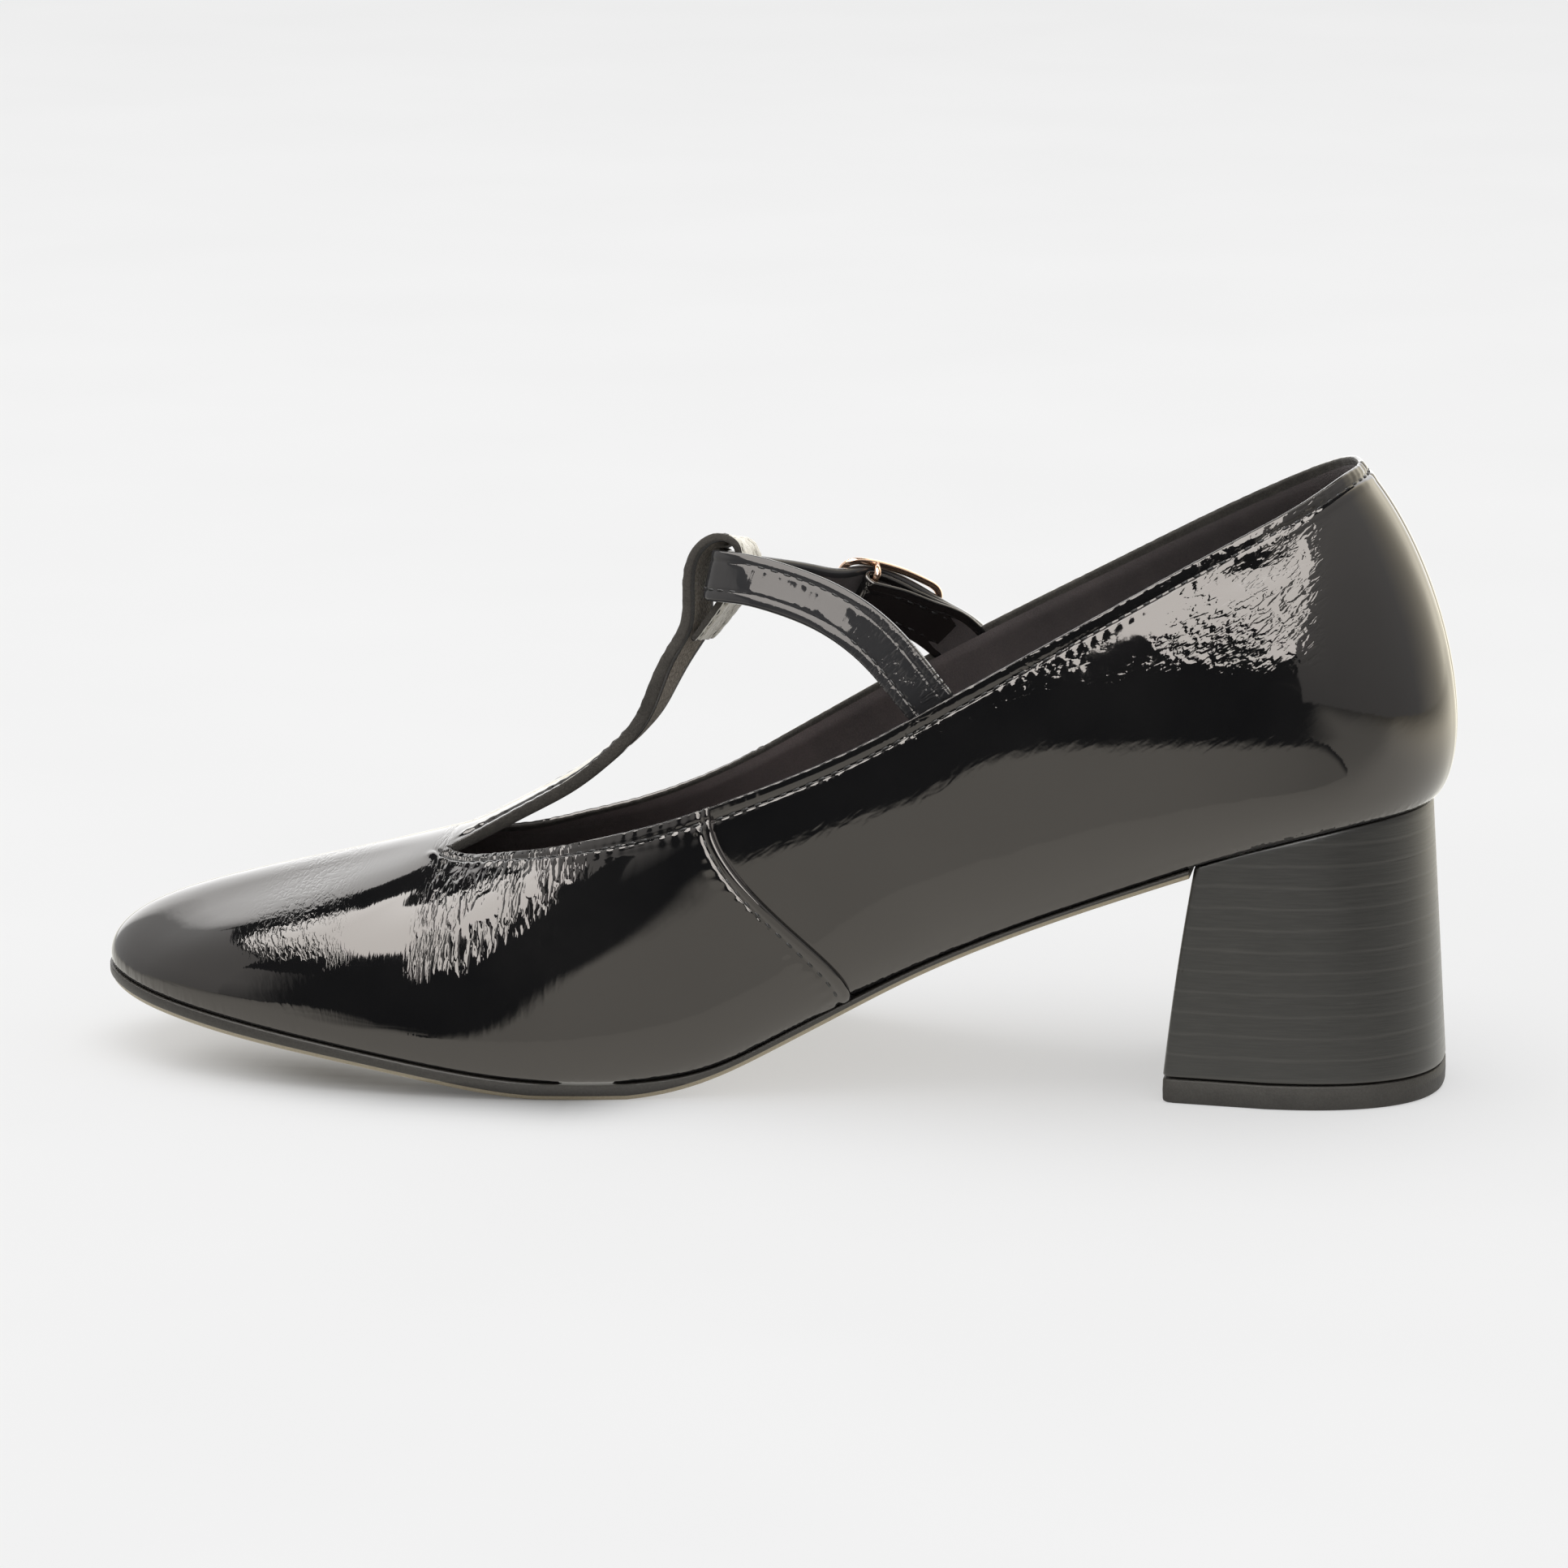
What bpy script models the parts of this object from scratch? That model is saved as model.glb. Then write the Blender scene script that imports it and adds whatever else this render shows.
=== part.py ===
"""T-bar pump with a block heel, right foot, built as the pieces a shoemaker joins.

Frame: metres, +Z up, floor at z = 0. The toe points to -X and the heel to +X; the medial
side of the foot faces -Y and the lateral side +Y. Every size below is in millimetres, and
new_solid() turns it into metres.
"""
from collections import namedtuple

import bmesh
import bpy
import numpy as np

MM = 0.001                      # one millimetre in metres
GAP = 0.35                      # clearance between pieces that touch
ORIGIN_SHIFT = (1.5, -1.4, 0.0)  # puts the origin under the middle of the finished shoe

# ---------------------------------------------------------------- driving sizes
WALL = 1.8                      # upper: patent leather, stiffener and lining
SEAM_STEP = 0.9                 # folded vamp edge standing over the quarter
SEAM_RUN = 0.3                  # half the distance in which the step rises
SEAM_FADE = 9.0                 # distance in which the step dies away on either side
INSOLE_THICK = 2.4
INSOLE_BEVEL = 0.5
INSOLE_PLAY = 0.6               # clearance between insole and upper
SOLE_LIP = 0.45                 # how far the sole's side stands out from the feather line
SOLE_TREAD = 0.9                # height of the lower, narrower layer of the sole's side
HEEL_FRONT_TOP = 76.9           # breast of the heel at the seat
HEEL_FRONT_FLOOR = 71.6         # and at the floor
SOLE_END = HEEL_FRONT_TOP - 0.9  # the sole stops in front of the leaning breast
HEEL_BACK_FLOOR = 120.3
HEEL_CENTRE_Y = 0.5
HEEL_HALF_FRONT = 22.3          # half widths at the floor: at the breast and at the middle
HEEL_HALF_MIDDLE = 24.1
HEEL_MIDDLE_X = 90.0            # where the straight sides turn into the round back
HEEL_BACK_POWER = 2.4           # 2 is an ellipse, more is squarer
HEEL_CORNER = 1.2               # chamfer of the breast's two edges
TOP_PIECE_THICK = 4.5
TBAR_CROWN = 1.2                # rise of the bar's middle over its edges at the throat
STRAP_WIDTH = 9.2
STRAP_THICK = 1.8
BUCKLE_STRAP_THICK = 1.0
BAR_RADIUS = 0.65
PRONG_THICK = 0.8
PRONG_WIDTH = 1.6
PRONG_CLEARANCE = 0.25          # between the bar and the prong curled round it
SLOT_HALF = 1.25                # half width of the slot and of the hole for the prong
SLOT_LENGTH = 2.8               # of the slot in each leg of the folded strap, from the bar
PRONG_HOLE = (-4.4, -0.2)       # hole of the instep strap, along it from the bar
SMALL = 0.2                     # step used to read a curve's direction
SQUARED = 0.6                   # power that turns an oval wire section towards a rectangle

# ---------------------------------------------------------------- tables
# Underside of the shoe along its length: height of the feather line, where the upper ends
# on the sole, and of the sole's tread.
SoleRow = namedtuple("SoleRow", "x feather tread")
SOLE_ROWS = [
    SoleRow(-126, 16.0, 13.1),
    SoleRow(-118, 14.6, 11.4),
    SoleRow(-108, 13.2, 9.9),
    SoleRow(-98, 11.9, 8.5),
    SoleRow(-84, 9.8, 6.5),
    SoleRow(-70, 7.6, 4.4),
    SoleRow(-56, 5.4, 2.1),
    SoleRow(-46, 4.1, 0.6),
    SoleRow(-38, 3.5, -0.1),
    SoleRow(-24, 3.4, -0.1),
    SoleRow(-16, 4.1, 1.0),
    SoleRow(-7, 6.3, 3.8),
    SoleRow(3, 11.2, 8.7),
    SoleRow(14, 17.0, 14.6),
    SoleRow(26, 23.2, 21.0),
    SoleRow(40, 29.6, 27.5),
    SoleRow(55, 35.6, 33.6),
    SoleRow(68, 40.5, 38.5),
    SoleRow(80, 44.9, 42.8),
    SoleRow(94, 49.0, 46.9),
    SoleRow(108, 51.9, 49.8),
    SoleRow(122, 53.2, 51.1),
]

# Ribs of the last, clockwise from the middle of the heel: medial side, toe, lateral side.
# A rib leaves the feather line at (foot_x, foot_y) and ends on the topline at rim. It sets
# off by foot_out outwards and foot_up upwards, and arrives from rim_out and rim_down.
Rib = namedtuple("Rib", "foot_x foot_y rim_x rim_y rim_z foot_out foot_up rim_out rim_down")
RIBS = [
    Rib(117.5, 0.5, 103.0, 0.5, 112.9, 8.5, 7.7, 16.0, 16.6),     # middle of the heel
    Rib(113.5, -12.0, 100.8, -8.8, 112.3, 7.5, 7.7, 16.0, 18.5),
    Rib(104.0, -19.8, 94.0, -16.8, 108.2, 6.6, 7.0, 17.0, 23.0),
    Rib(88.0, -23.0, 78.0, -22.0, 99.3, 6.2, 7.0, 15.0, 23.0),
    Rib(68.0, -23.0, 56.5, -25.6, 87.0, 5.4, 8.2, 10.5, 18.5),
    Rib(49.0, -23.0, 34.5, -28.0, 74.2, 5.6, 8.6, 7.5, 15.0),
    Rib(32.0, -23.8, 13.0, -29.4, 62.3, 6.2, 8.5, 6.5, 13.5),
    Rib(16.3, -26.0, -8.5, -29.0, 53.0, 7.2, 8.2, 6.5, 13.0),     # medial side seam
    Rib(-5.0, -30.5, -19.5, -27.4, 48.9, 8.0, 8.0, 8.0, 12.5),
    Rib(-30.0, -36.3, -30.0, -24.6, 45.5, 6.0, 8.0, 11.5, 12.0),
    Rib(-55.0, -38.0, -40.5, -20.6, 42.4, 3.2, 7.2, 17.0, 11.0),
    Rib(-80.0, -36.0, -49.0, -16.3, 40.3, 2.4, 7.2, 22.0, 10.5),
    Rib(-100.0, -31.0, -55.8, -12.8, 39.0, 2.4, 7.6, 27.0, 10.0),
    Rib(-114.0, -22.5, -59.6, -9.8, 39.4, 2.4, 9.2, 32.0, 9.8),   # medial edge of the T-bar
    Rib(-121.9, -12.5, -60.0, -5.0, 40.2, 2.6, 11.2, 35.0, 9.6),
    Rib(-123.7, -4.0, -60.0, 0.2, 40.5, 2.7, 12.2, 36.0, 9.6),     # tip of the toe
    Rib(-121.5, 5.0, -60.0, 5.2, 40.2, 2.6, 11.2, 35.0, 9.6),
    Rib(-112.0, 15.5, -59.6, 10.0, 39.3, 2.4, 9.2, 32.0, 9.8),    # lateral edge of the T-bar
    Rib(-98.0, 25.0, -55.8, 13.1, 38.4, 2.4, 7.6, 27.0, 10.0),
    Rib(-78.0, 33.0, -49.0, 17.2, 38.2, 2.4, 7.2, 22.0, 10.5),
    Rib(-54.0, 39.0, -40.5, 21.6, 39.6, 2.6, 7.2, 17.0, 11.0),
    Rib(-30.0, 40.8, -30.0, 25.3, 42.0, 4.4, 7.9, 12.0, 12.0),
    Rib(-5.0, 37.0, -19.0, 27.6, 46.0, 5.6, 8.1, 8.5, 12.7),
    Rib(16.3, 31.5, -8.0, 29.0, 51.4, 5.7, 8.3, 6.0, 13.5),       # lateral side seam
    Rib(32.0, 28.5, 13.0, 29.6, 63.8, 5.6, 8.6, 5.5, 14.5),
    Rib(49.0, 26.0, 34.5, 28.4, 76.3, 5.2, 8.8, 6.0, 16.0),
    Rib(68.0, 25.0, 56.5, 26.3, 88.4, 5.0, 8.5, 8.5, 18.5),
    Rib(88.0, 24.3, 78.0, 23.3, 100.2, 5.6, 7.4, 12.5, 23.0),
    Rib(104.0, 21.0, 94.0, 18.2, 108.6, 6.4, 7.2, 15.0, 23.0),
    Rib(113.5, 12.8, 100.8, 9.8, 112.3, 7.5, 7.7, 15.5, 18.5),
]
SEAM_RIBS = (7, 23)
TBAR_RIBS = (13, 17)
HEEL_SIDE_RIBS = (3, 27)

# The T-bar beyond the throat: middle of its outer face, width, thickness, and how its
# lateral edge swings to the rear (yaw) and drops (roll), in degrees. It climbs the instep,
# turns over the instep strap and comes back down behind it to its own underside.
BarRow = namedtuple("BarRow", "x y z width thick yaw roll")
TBAR_ROWS = [
    BarRow(-60.0, 0.1, 40.5, 19.8, 1.8, 0, 0),
    BarRow(-57.4, 0.1, 41.5, 16.8, 1.9, 0, 0),
    BarRow(-53.0, 0.1, 43.7, 15.6, 2.0, 0, 0),
    BarRow(-45.4, 0.0, 47.8, 14.6, 2.2, 0, 0),
    BarRow(-39.1, -0.2, 51.4, 14.2, 2.3, 0, 0),
    BarRow(-32.8, -0.5, 56.0, 14.0, 2.3, 1, 1),
    BarRow(-28.5, -0.8, 60.0, 13.8, 2.3, 2, 2),
    BarRow(-25.2, -1.0, 64.2, 13.6, 2.3, 4, 3),
    BarRow(-23.0, -1.3, 68.6, 13.5, 2.3, 6, 5),
    BarRow(-20.8, -1.5, 72.9, 13.5, 2.1, 8, 8),
    BarRow(-18.5, -1.7, 76.6, 13.5, 1.9, 9, 10),
    BarRow(-16.7, -1.8, 79.9, 13.5, 1.8, 9, 12),
    BarRow(-16.1, -1.8, 83.5, 13.5, 1.6, 9, 13),
    BarRow(-16.0, -1.8, 87.5, 13.5, 1.5, 9, 14),
    BarRow(-15.3, -1.8, 91.5, 13.5, 1.4, 9, 14),
    BarRow(-13.2, -1.8, 94.9, 13.5, 1.3, 9, 14),
    BarRow(-9.9, -1.8, 96.5, 13.5, 1.3, 9, 14),
    BarRow(-7.0, -1.8, 95.5, 13.5, 1.2, 8, 14),
    BarRow(-5.7, -1.8, 92.5, 13.4, 1.2, 8, 14),
    BarRow(-6.4, -1.8, 88.8, 13.2, 1.2, 8, 14),
    BarRow(-8.7, -1.8, 84.6, 13.0, 1.1, 7, 14),
    BarRow(-11.6, -1.9, 80.6, 12.6, 1.0, 5, 15),
    BarRow(-14.1, -2.0, 77.4, 12.2, 0.9, 4, 15),
]

# Middle line of the instep strap, from inside the medial quarter through the T-bar's loop
# to the buckle and the lateral quarter. lean_x and lean_y tilt its width off the vertical.
StrapRow = namedtuple("StrapRow", "x y z lean_x lean_y")
STRAP_ROWS = [
    StrapRow(36.0, -25.0, 64.6, 0.70, 0.05),
    StrapRow(29.0, -24.6, 72.6, 0.70, 0.15),
    StrapRow(20.0, -21.6, 82.0, 0.60, 0.35),
    StrapRow(10.5, -17.8, 87.4, 0.50, 0.45),
    StrapRow(1.0, -14.4, 90.0, 0.42, 0.45),
    StrapRow(-6.2, -12.8, 91.1, 0.35, 0.35),
    StrapRow(-11.6, -9.7, 90.9, 0.30, 0.20),
    StrapRow(-12.0, -4.0, 90.3, 0.28, 0.06),
    StrapRow(-11.2, 1.6, 89.0, 0.30, -0.08),
    StrapRow(-8.5, 7.0, 87.4, 0.36, -0.26),
    StrapRow(-2.8, 12.3, 85.7, 0.42, -0.40),
    StrapRow(4.0, 17.0, 83.8, 0.45, -0.42),
    StrapRow(12.0, 21.0, 81.6, 0.50, -0.40),
    StrapRow(20.5, 24.2, 77.4, 0.60, -0.30),
    StrapRow(27.8, 25.2, 71.2, 0.70, -0.15),
    StrapRow(33.8, 25.0, 64.2, 0.70, 0.00),
]
BUCKLE_ROW = 12                 # the buckle's bar lies across the line at this row

# Distance outwards from that line, against distance along it from the buckle's bar:
# the instep strap dips under the frame's front, rides over the bar and dips again.
WeaveRow = namedtuple("WeaveRow", "along out")
STRAP_WEAVE = [
    WeaveRow(-200.0, 0.0),
    WeaveRow(-20.0, 0.0),
    WeaveRow(-12.0, 0.0),
    WeaveRow(-5.4, 0.5),
    WeaveRow(-2.6, 2.1),
    WeaveRow(0.0, 3.35),
    WeaveRow(4.0, 3.25),
    WeaveRow(9.0, 2.65),
    WeaveRow(13.6, 3.2),
    WeaveRow(18.0, 6.0),
    WeaveRow(22.0, 7.9),
    WeaveRow(25.0, 8.6),
    WeaveRow(28.0, 9.0),
]
STRAP_TAIL = 26.0               # free end, from the bar
BUCKLE_STRAP_END = 22.5         # where the folded strap ends inside the quarter
BUCKLE_LEG_WEAVE = [
    WeaveRow(0.0, 1.5),
    WeaveRow(2.0, 1.45),
    WeaveRow(7.0, 0.75),
    WeaveRow(14.0, 0.7),
    WeaveRow(30.0, 0.7),
]
# The frame's middle line seen from above: half of it, front to rear, as distance along the
# strap, distance outwards and half width.
FrameRow = namedtuple("FrameRow", "along out half")
FRAME_ROWS = [
    FrameRow(-5.3, 2.5, 0.0),
    FrameRow(-5.3, 2.5, 4.0),
    FrameRow(-4.5, 2.5, 5.2),
    FrameRow(-3.0, 2.6, 5.8),
    FrameRow(0.0, 2.9, 5.9),
    FrameRow(5.0, 3.75, 5.9),
    FrameRow(8.8, 4.5, 5.8),
    FrameRow(11.0, 5.0, 5.3),
    FrameRow(12.0, 5.15, 4.0),
    FrameRow(12.0, 5.15, 0.0),
]
BAR_RAIL_ROW = 4                # where the bar leaves the frame's two long sides
FRAME_WIRE = (1.3, 0.9)         # across and through the frame


# ---------------------------------------------------------------- curves
def unit(vectors):
    return vectors / np.linalg.norm(vectors, axis=-1, keepdims=True)


def smooth_curve(knots, values, at, period=None):
    """Cubic curve of continuous curvature through rows of values, closed over a period."""
    knots = np.asarray(knots, float)
    values = np.asarray(values, float)
    at = np.asarray(at, float)
    if period:
        knots = np.append(knots, knots[0] + period)
        values = np.vstack([values, values[:1]])
        at = (at - knots[0]) % period + knots[0]
    count = len(knots)
    step = np.diff(knots)
    slope = np.diff(values, axis=0) / step[:, None]
    matrix = np.eye(count)
    right = np.zeros_like(values)
    for i in range(1, count - 1):
        matrix[i, i - 1:i + 2] = (step[i - 1], 2 * (step[i - 1] + step[i]), step[i])
        right[i] = 6 * (slope[i] - slope[i - 1])
    if period:
        matrix[0, 0] = 2 * (step[-1] + step[0])
        matrix[0, 1] = step[0]
        matrix[0, count - 2] = step[-1]
        right[0] = 6 * (slope[0] - slope[-1])
        matrix[-1, 0] = -1
    bend = np.linalg.solve(matrix, right)
    k = np.clip(np.searchsorted(knots, at, side="right") - 1, 0, count - 2)
    width = step[k][:, None]
    before = (at - knots[k])[:, None]
    after = width - before
    cubic = (bend[k] * after**3 + bend[k + 1] * before**3) / (6 * width)
    linear = ((values[k] / width - bend[k] * width / 6) * after
              + (values[k + 1] / width - bend[k + 1] * width / 6) * before)
    return cubic + linear


def run_length(points):
    """Distance along a line of points, starting at 0."""
    return np.append(0, np.cumsum(np.linalg.norm(np.diff(points, axis=0), axis=1)))


def along_rows(rows, axes, at):
    """Rows read as a smooth curve, at distances measured over the first few columns."""
    table = np.array(rows, float)
    return smooth_curve(run_length(table[:, :axes]), table, at)


def weave(rows, at):
    table = np.array(rows, float)
    return smooth_curve(table[:, 0], table[:, 1:], at)


def feather_z(x):
    table = np.array(SOLE_ROWS)
    return smooth_curve(table[:, 0], table[:, 1:2], x)[:, 0]


def tread_z(x):
    """Underside of the sole, flat on the floor under the ball of the foot."""
    table = np.array(SOLE_ROWS)
    return np.maximum(smooth_curve(table[:, 0], table[:, 2:3], x)[:, 0], 0.0)


# ---------------------------------------------------------------- the last
RIB_TABLE = np.array(RIBS)


def rib_knots():
    """Place of every rib on the ring round the shoe, and the ring's length."""
    foot_steps = np.linalg.norm(np.roll(RIB_TABLE[:, :2], -1, 0) - RIB_TABLE[:, :2], axis=1)
    rim_steps = np.linalg.norm(np.roll(RIB_TABLE[:, 2:5], -1, 0) - RIB_TABLE[:, 2:5], axis=1)
    places = np.append(0, np.cumsum((foot_steps + rim_steps) / 2))
    return places[:-1], places[-1]


KNOTS, RING = rib_knots()


def ribs_at(places):
    return smooth_curve(KNOTS, RIB_TABLE, places, RING)


def plan_outward(places, column):
    """Outward direction in plan of the foot ring (column 0) or of the topline (column 2)."""
    run = (ribs_at(places + SMALL) - ribs_at(places - SMALL))[:, column:column + 2]
    return unit(np.column_stack([-run[:, 1], run[:, 0], np.zeros(len(run))]))


def foot_ring(places, offset=0.0):
    """The feather line, moved outwards in plan."""
    rows = ribs_at(places)
    ring = np.column_stack([rows[:, 0], rows[:, 1], feather_z(rows[:, 0])])
    return ring + plan_outward(places, 0) * offset


def last_surface(places, heights):
    """Outer face of the upper: a grid with a row for each height, 0 feather line, 1 topline."""
    rows = ribs_at(places)
    foot = foot_ring(places)
    rim = rows[:, 2:5]
    up = np.array([0.0, 0.0, 1.0])
    leave = foot + plan_outward(places, 0) * rows[:, 5:6] + up * rows[:, 6:7]
    arrive = rim + plan_outward(places, 2) * rows[:, 7:8] - up * rows[:, 8:9]
    t = np.asarray(heights)[:, None, None]
    return ((1 - t)**3 * foot + 3 * (1 - t)**2 * t * leave
            + 3 * (1 - t) * t**2 * arrive + t**3 * rim)


def place_of_foot_x(x, rib):
    """Place on the ring near a rib where the feather line crosses x."""
    places = KNOTS[rib] + np.arange(-40, 40, 0.1)
    return places[np.argmin(np.abs(ribs_at(places)[:, 0] - x))]


def between_ribs(first, last, count):
    """Places from one rib to another, each span between two ribs cut into count parts."""
    closed = np.append(KNOTS, RING)
    spans = [np.linspace(closed[i], closed[i + 1], count, endpoint=False) for i in range(first, last)]
    return np.concatenate(spans + [[closed[last]]])


# ---------------------------------------------------------------- meshes
def material(name, colour, roughness, metallic=0.0):
    made = bpy.data.materials.new(name)
    made.use_nodes = True
    shader = made.node_tree.nodes["Principled BSDF"]
    shader.inputs["Base Color"].default_value = (*colour, 1.0)
    shader.inputs["Roughness"].default_value = roughness
    shader.inputs["Metallic"].default_value = metallic
    made.diffuse_color = (*colour, 1.0)
    return made


def new_solid(name, points, faces, finish, sharp_degrees=40):
    """One closed piece from points in millimetres."""
    mesh = bpy.data.meshes.new(name)
    placed = (np.asarray(points) + ORIGIN_SHIFT) * MM
    mesh.from_pydata([tuple(p) for p in placed], [], [tuple(int(i) for i in f) for f in faces])
    work = bmesh.new()
    work.from_mesh(mesh)
    bmesh.ops.recalc_face_normals(work, faces=work.faces)
    work.to_mesh(mesh)
    work.free()
    mesh.shade_smooth()
    mesh.set_sharp_from_angle(angle=np.radians(sharp_degrees))
    mesh.materials.append(finish)
    piece = bpy.data.objects.new(name, mesh)
    bpy.context.collection.objects.link(piece)
    return piece


def grid_quads(indices, closed=False):
    """Quads of a grid of point numbers; closed joins the last column to the first."""
    if closed:
        indices = np.column_stack([indices, indices[:, 0]])
    low = indices[:-1]
    high = indices[1:]
    quads = np.stack([low[:, :-1], high[:, :-1], high[:, 1:], low[:, 1:]], axis=-1)
    return quads.reshape(-1, 4)


def sheet_normals(points, quads):
    """Direction out of a sheet at each of its points."""
    normals = np.zeros_like(points)
    corners = points[quads]
    faces = np.cross(corners[:, 2] - corners[:, 0], corners[:, 3] - corners[:, 1])
    for corner in range(4):
        np.add.at(normals, quads[:, corner], faces)
    return unit(normals)


def thick_sheet(outer, inner, quads):
    """Faces between two copies of a sheet, with a wall along every open edge."""
    count = len(outer)
    edges = {}
    for quad in quads:
        for a, b in zip(quad, np.roll(quad, -1)):
            key = (min(a, b), max(a, b))
            edges[key] = None if key in edges else (a, b)
    walls = [(b, a, a + count, b + count) for a, b in filter(None, edges.values())]
    faces = [tuple(q) for q in quads] + [tuple(q[::-1] + count) for q in quads] + walls
    return np.vstack([outer, inner]), faces


def stacked_rings(rings):
    """Faces of rings laid one over another, each closed by rungs across its two sides."""
    layers = len(rings)
    count = len(rings[0])
    numbers = np.arange(layers * count).reshape(layers, count)
    faces = [tuple(q) for q in grid_quads(numbers, closed=True)]
    for base in (numbers[0], numbers[-1]):
        for i in range(count // 2):
            rung = [base[i], base[i + 1], base[count - 2 - i], base[count - 1 - i]]
            loop = list(dict.fromkeys(rung))
            if len(loop) > 2:
                faces.append(tuple(loop))
    return np.vstack(rings), faces


def tube(path, across, through, width, depth, closed, squareness=1.0, sides=8):
    """Bar swept along a path; across and through are its section's directions."""
    angles = (np.arange(sides) + 0.5) * 2 * np.pi / sides
    section = np.stack([np.cos(angles), np.sin(angles)], 1)
    section = np.sign(section) * np.abs(section)**squareness
    rings = (path[:, None] + across[:, None] * section[None, :, :1] * width / 2
             + through[:, None] * section[None, :, 1:] * depth / 2)
    numbers = np.arange(len(path) * sides).reshape(len(path), sides)
    if closed:
        numbers = np.vstack([numbers, numbers[:1]])
    faces = [tuple(q) for q in grid_quads(numbers, closed=True)]
    if not closed:
        faces += [tuple(numbers[0]), tuple(numbers[-1][::-1])]
    return rings.reshape(-1, 3), faces


# ---------------------------------------------------------------- upper
SPAN_PARTS = 3                  # columns of the surface between two ribs
SHELL_HEIGHTS = np.array([0, 0.05, 0.11, 0.19, 0.28, 0.38, 0.49, 0.61, 0.73, 0.84, 0.93, 1.0])
TBAR_FLARE = 2.0                # radius of the throat's two corners beside the T-bar
TBAR_CROWN_FADE = 15.0
TBAR_STATIONS = np.concatenate([[0.3, 0.8, 1.4, 2.2], np.arange(4.5, 60, 4.6),
                                np.arange(62, 200, 2.1)])


def shell_places():
    """Columns of the upper: an even number between ribs, and a close pair at each seam."""
    places = between_ribs(0, len(RIBS), SPAN_PARTS)[:-1]
    for rib in SEAM_RIBS:
        places = places[np.abs(places - KNOTS[rib]) > SEAM_RUN]
        places = np.append(places, KNOTS[rib] + SEAM_RUN * np.array([-1, 1]))
    return np.sort(places)


def seam_lift(places):
    """The vamp stands over the quarters at the side seams and both faces fade to the last."""
    lift = np.zeros_like(places)
    for rib, forward in zip(SEAM_RIBS, (1, -1)):
        ahead = (places - KNOTS[rib]) * forward
        lift += np.clip(ahead / SEAM_RUN, -1, 1) * np.exp(-np.abs(ahead) / SEAM_FADE)
    return lift * SEAM_STEP / 2


def tbar_surface(columns):
    """Outer face of the T-bar beyond the throat and the wall's thickness at its stations."""
    reach = run_length(np.array(TBAR_ROWS)[:, :3])[-1]
    at = TBAR_STATIONS[TBAR_STATIONS < reach]
    at = np.append(at, reach)
    rows = along_rows(TBAR_ROWS, 3, at)
    run = unit((along_rows(TBAR_ROWS, 3, at + SMALL) - along_rows(TBAR_ROWS, 3, at - SMALL))[:, :3])
    yaw = np.radians(rows[:, 5])
    roll = np.radians(rows[:, 6])
    across = np.column_stack([np.sin(yaw), np.cos(yaw), -np.tan(roll)])
    across = unit(across - run * np.sum(run * across, axis=1, keepdims=True))
    out = np.cross(run, across)
    inside = np.clip(TBAR_FLARE - at, 0, None)
    flare = TBAR_FLARE - np.sqrt(TBAR_FLARE**2 - inside**2)
    half = rows[:, 3] / 2 + flare
    crown = TBAR_CROWN * np.exp(-at / TBAR_CROWN_FADE)
    v = np.linspace(-1, 1, columns)[None, :, None]
    points = (rows[:, None, :3] + across[:, None] * half[:, None, None] * v
              - out[:, None] * crown[:, None, None] * v**2)
    return points, rows[:, 4]


def build_upper(finish):
    """Vamp, quarters and T-bar: one wall, open at the collar and underneath."""
    places = shell_places()
    shell = last_surface(places, SHELL_HEIGHTS)
    layers, count = shell.shape[:2]
    bar_columns = np.flatnonzero((places > KNOTS[TBAR_RIBS[0]] - SEAM_RUN)
                                 & (places < KNOTS[TBAR_RIBS[1]] + SEAM_RUN))
    bar, bar_thick = tbar_surface(len(bar_columns))
    base = np.vstack([shell.reshape(-1, 3), bar.reshape(-1, 3)])
    shell_numbers = np.arange(layers * count).reshape(layers, count)
    bar_numbers = layers * count + np.arange(bar.shape[0] * bar.shape[1]).reshape(bar.shape[:2])
    bar_numbers = np.vstack([shell_numbers[-1, bar_columns], bar_numbers])
    quads = np.vstack([grid_quads(shell_numbers, closed=True), grid_quads(bar_numbers)])
    normals = sheet_normals(base, quads)
    normals[:count] = plan_outward(places, 0)
    lift = np.zeros(len(base))
    lift[:layers * count] = np.tile(seam_lift(places), layers)
    thick = np.full(len(base), WALL)
    thick[layers * count:] = np.repeat(bar_thick, len(bar_columns))
    outer = base + normals * lift[:, None]
    inner = base - normals * thick[:, None]
    points, faces = thick_sheet(outer, inner, quads)
    return new_solid("upper", points, faces, finish)


# ---------------------------------------------------------------- insole and sole
def build_insole(finish):
    """Sock and insole board, lying inside the upper on the sole and the heel."""
    places = between_ribs(0, len(RIBS), SPAN_PARTS)[:-1]
    inset = WALL + INSOLE_PLAY
    layers = ((inset, 0.0), (inset, INSOLE_THICK - INSOLE_BEVEL), (inset + INSOLE_BEVEL, INSOLE_THICK))
    rings = []
    for inward, rise in layers:
        ring = foot_ring(places, -inward)
        ring[:, 2] = feather_z(ring[:, 0]) + rise
        rings.append(np.roll(ring, -1, axis=0))
    points, faces = stacked_rings(rings)
    return new_solid("insole", points, faces, finish)


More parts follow.
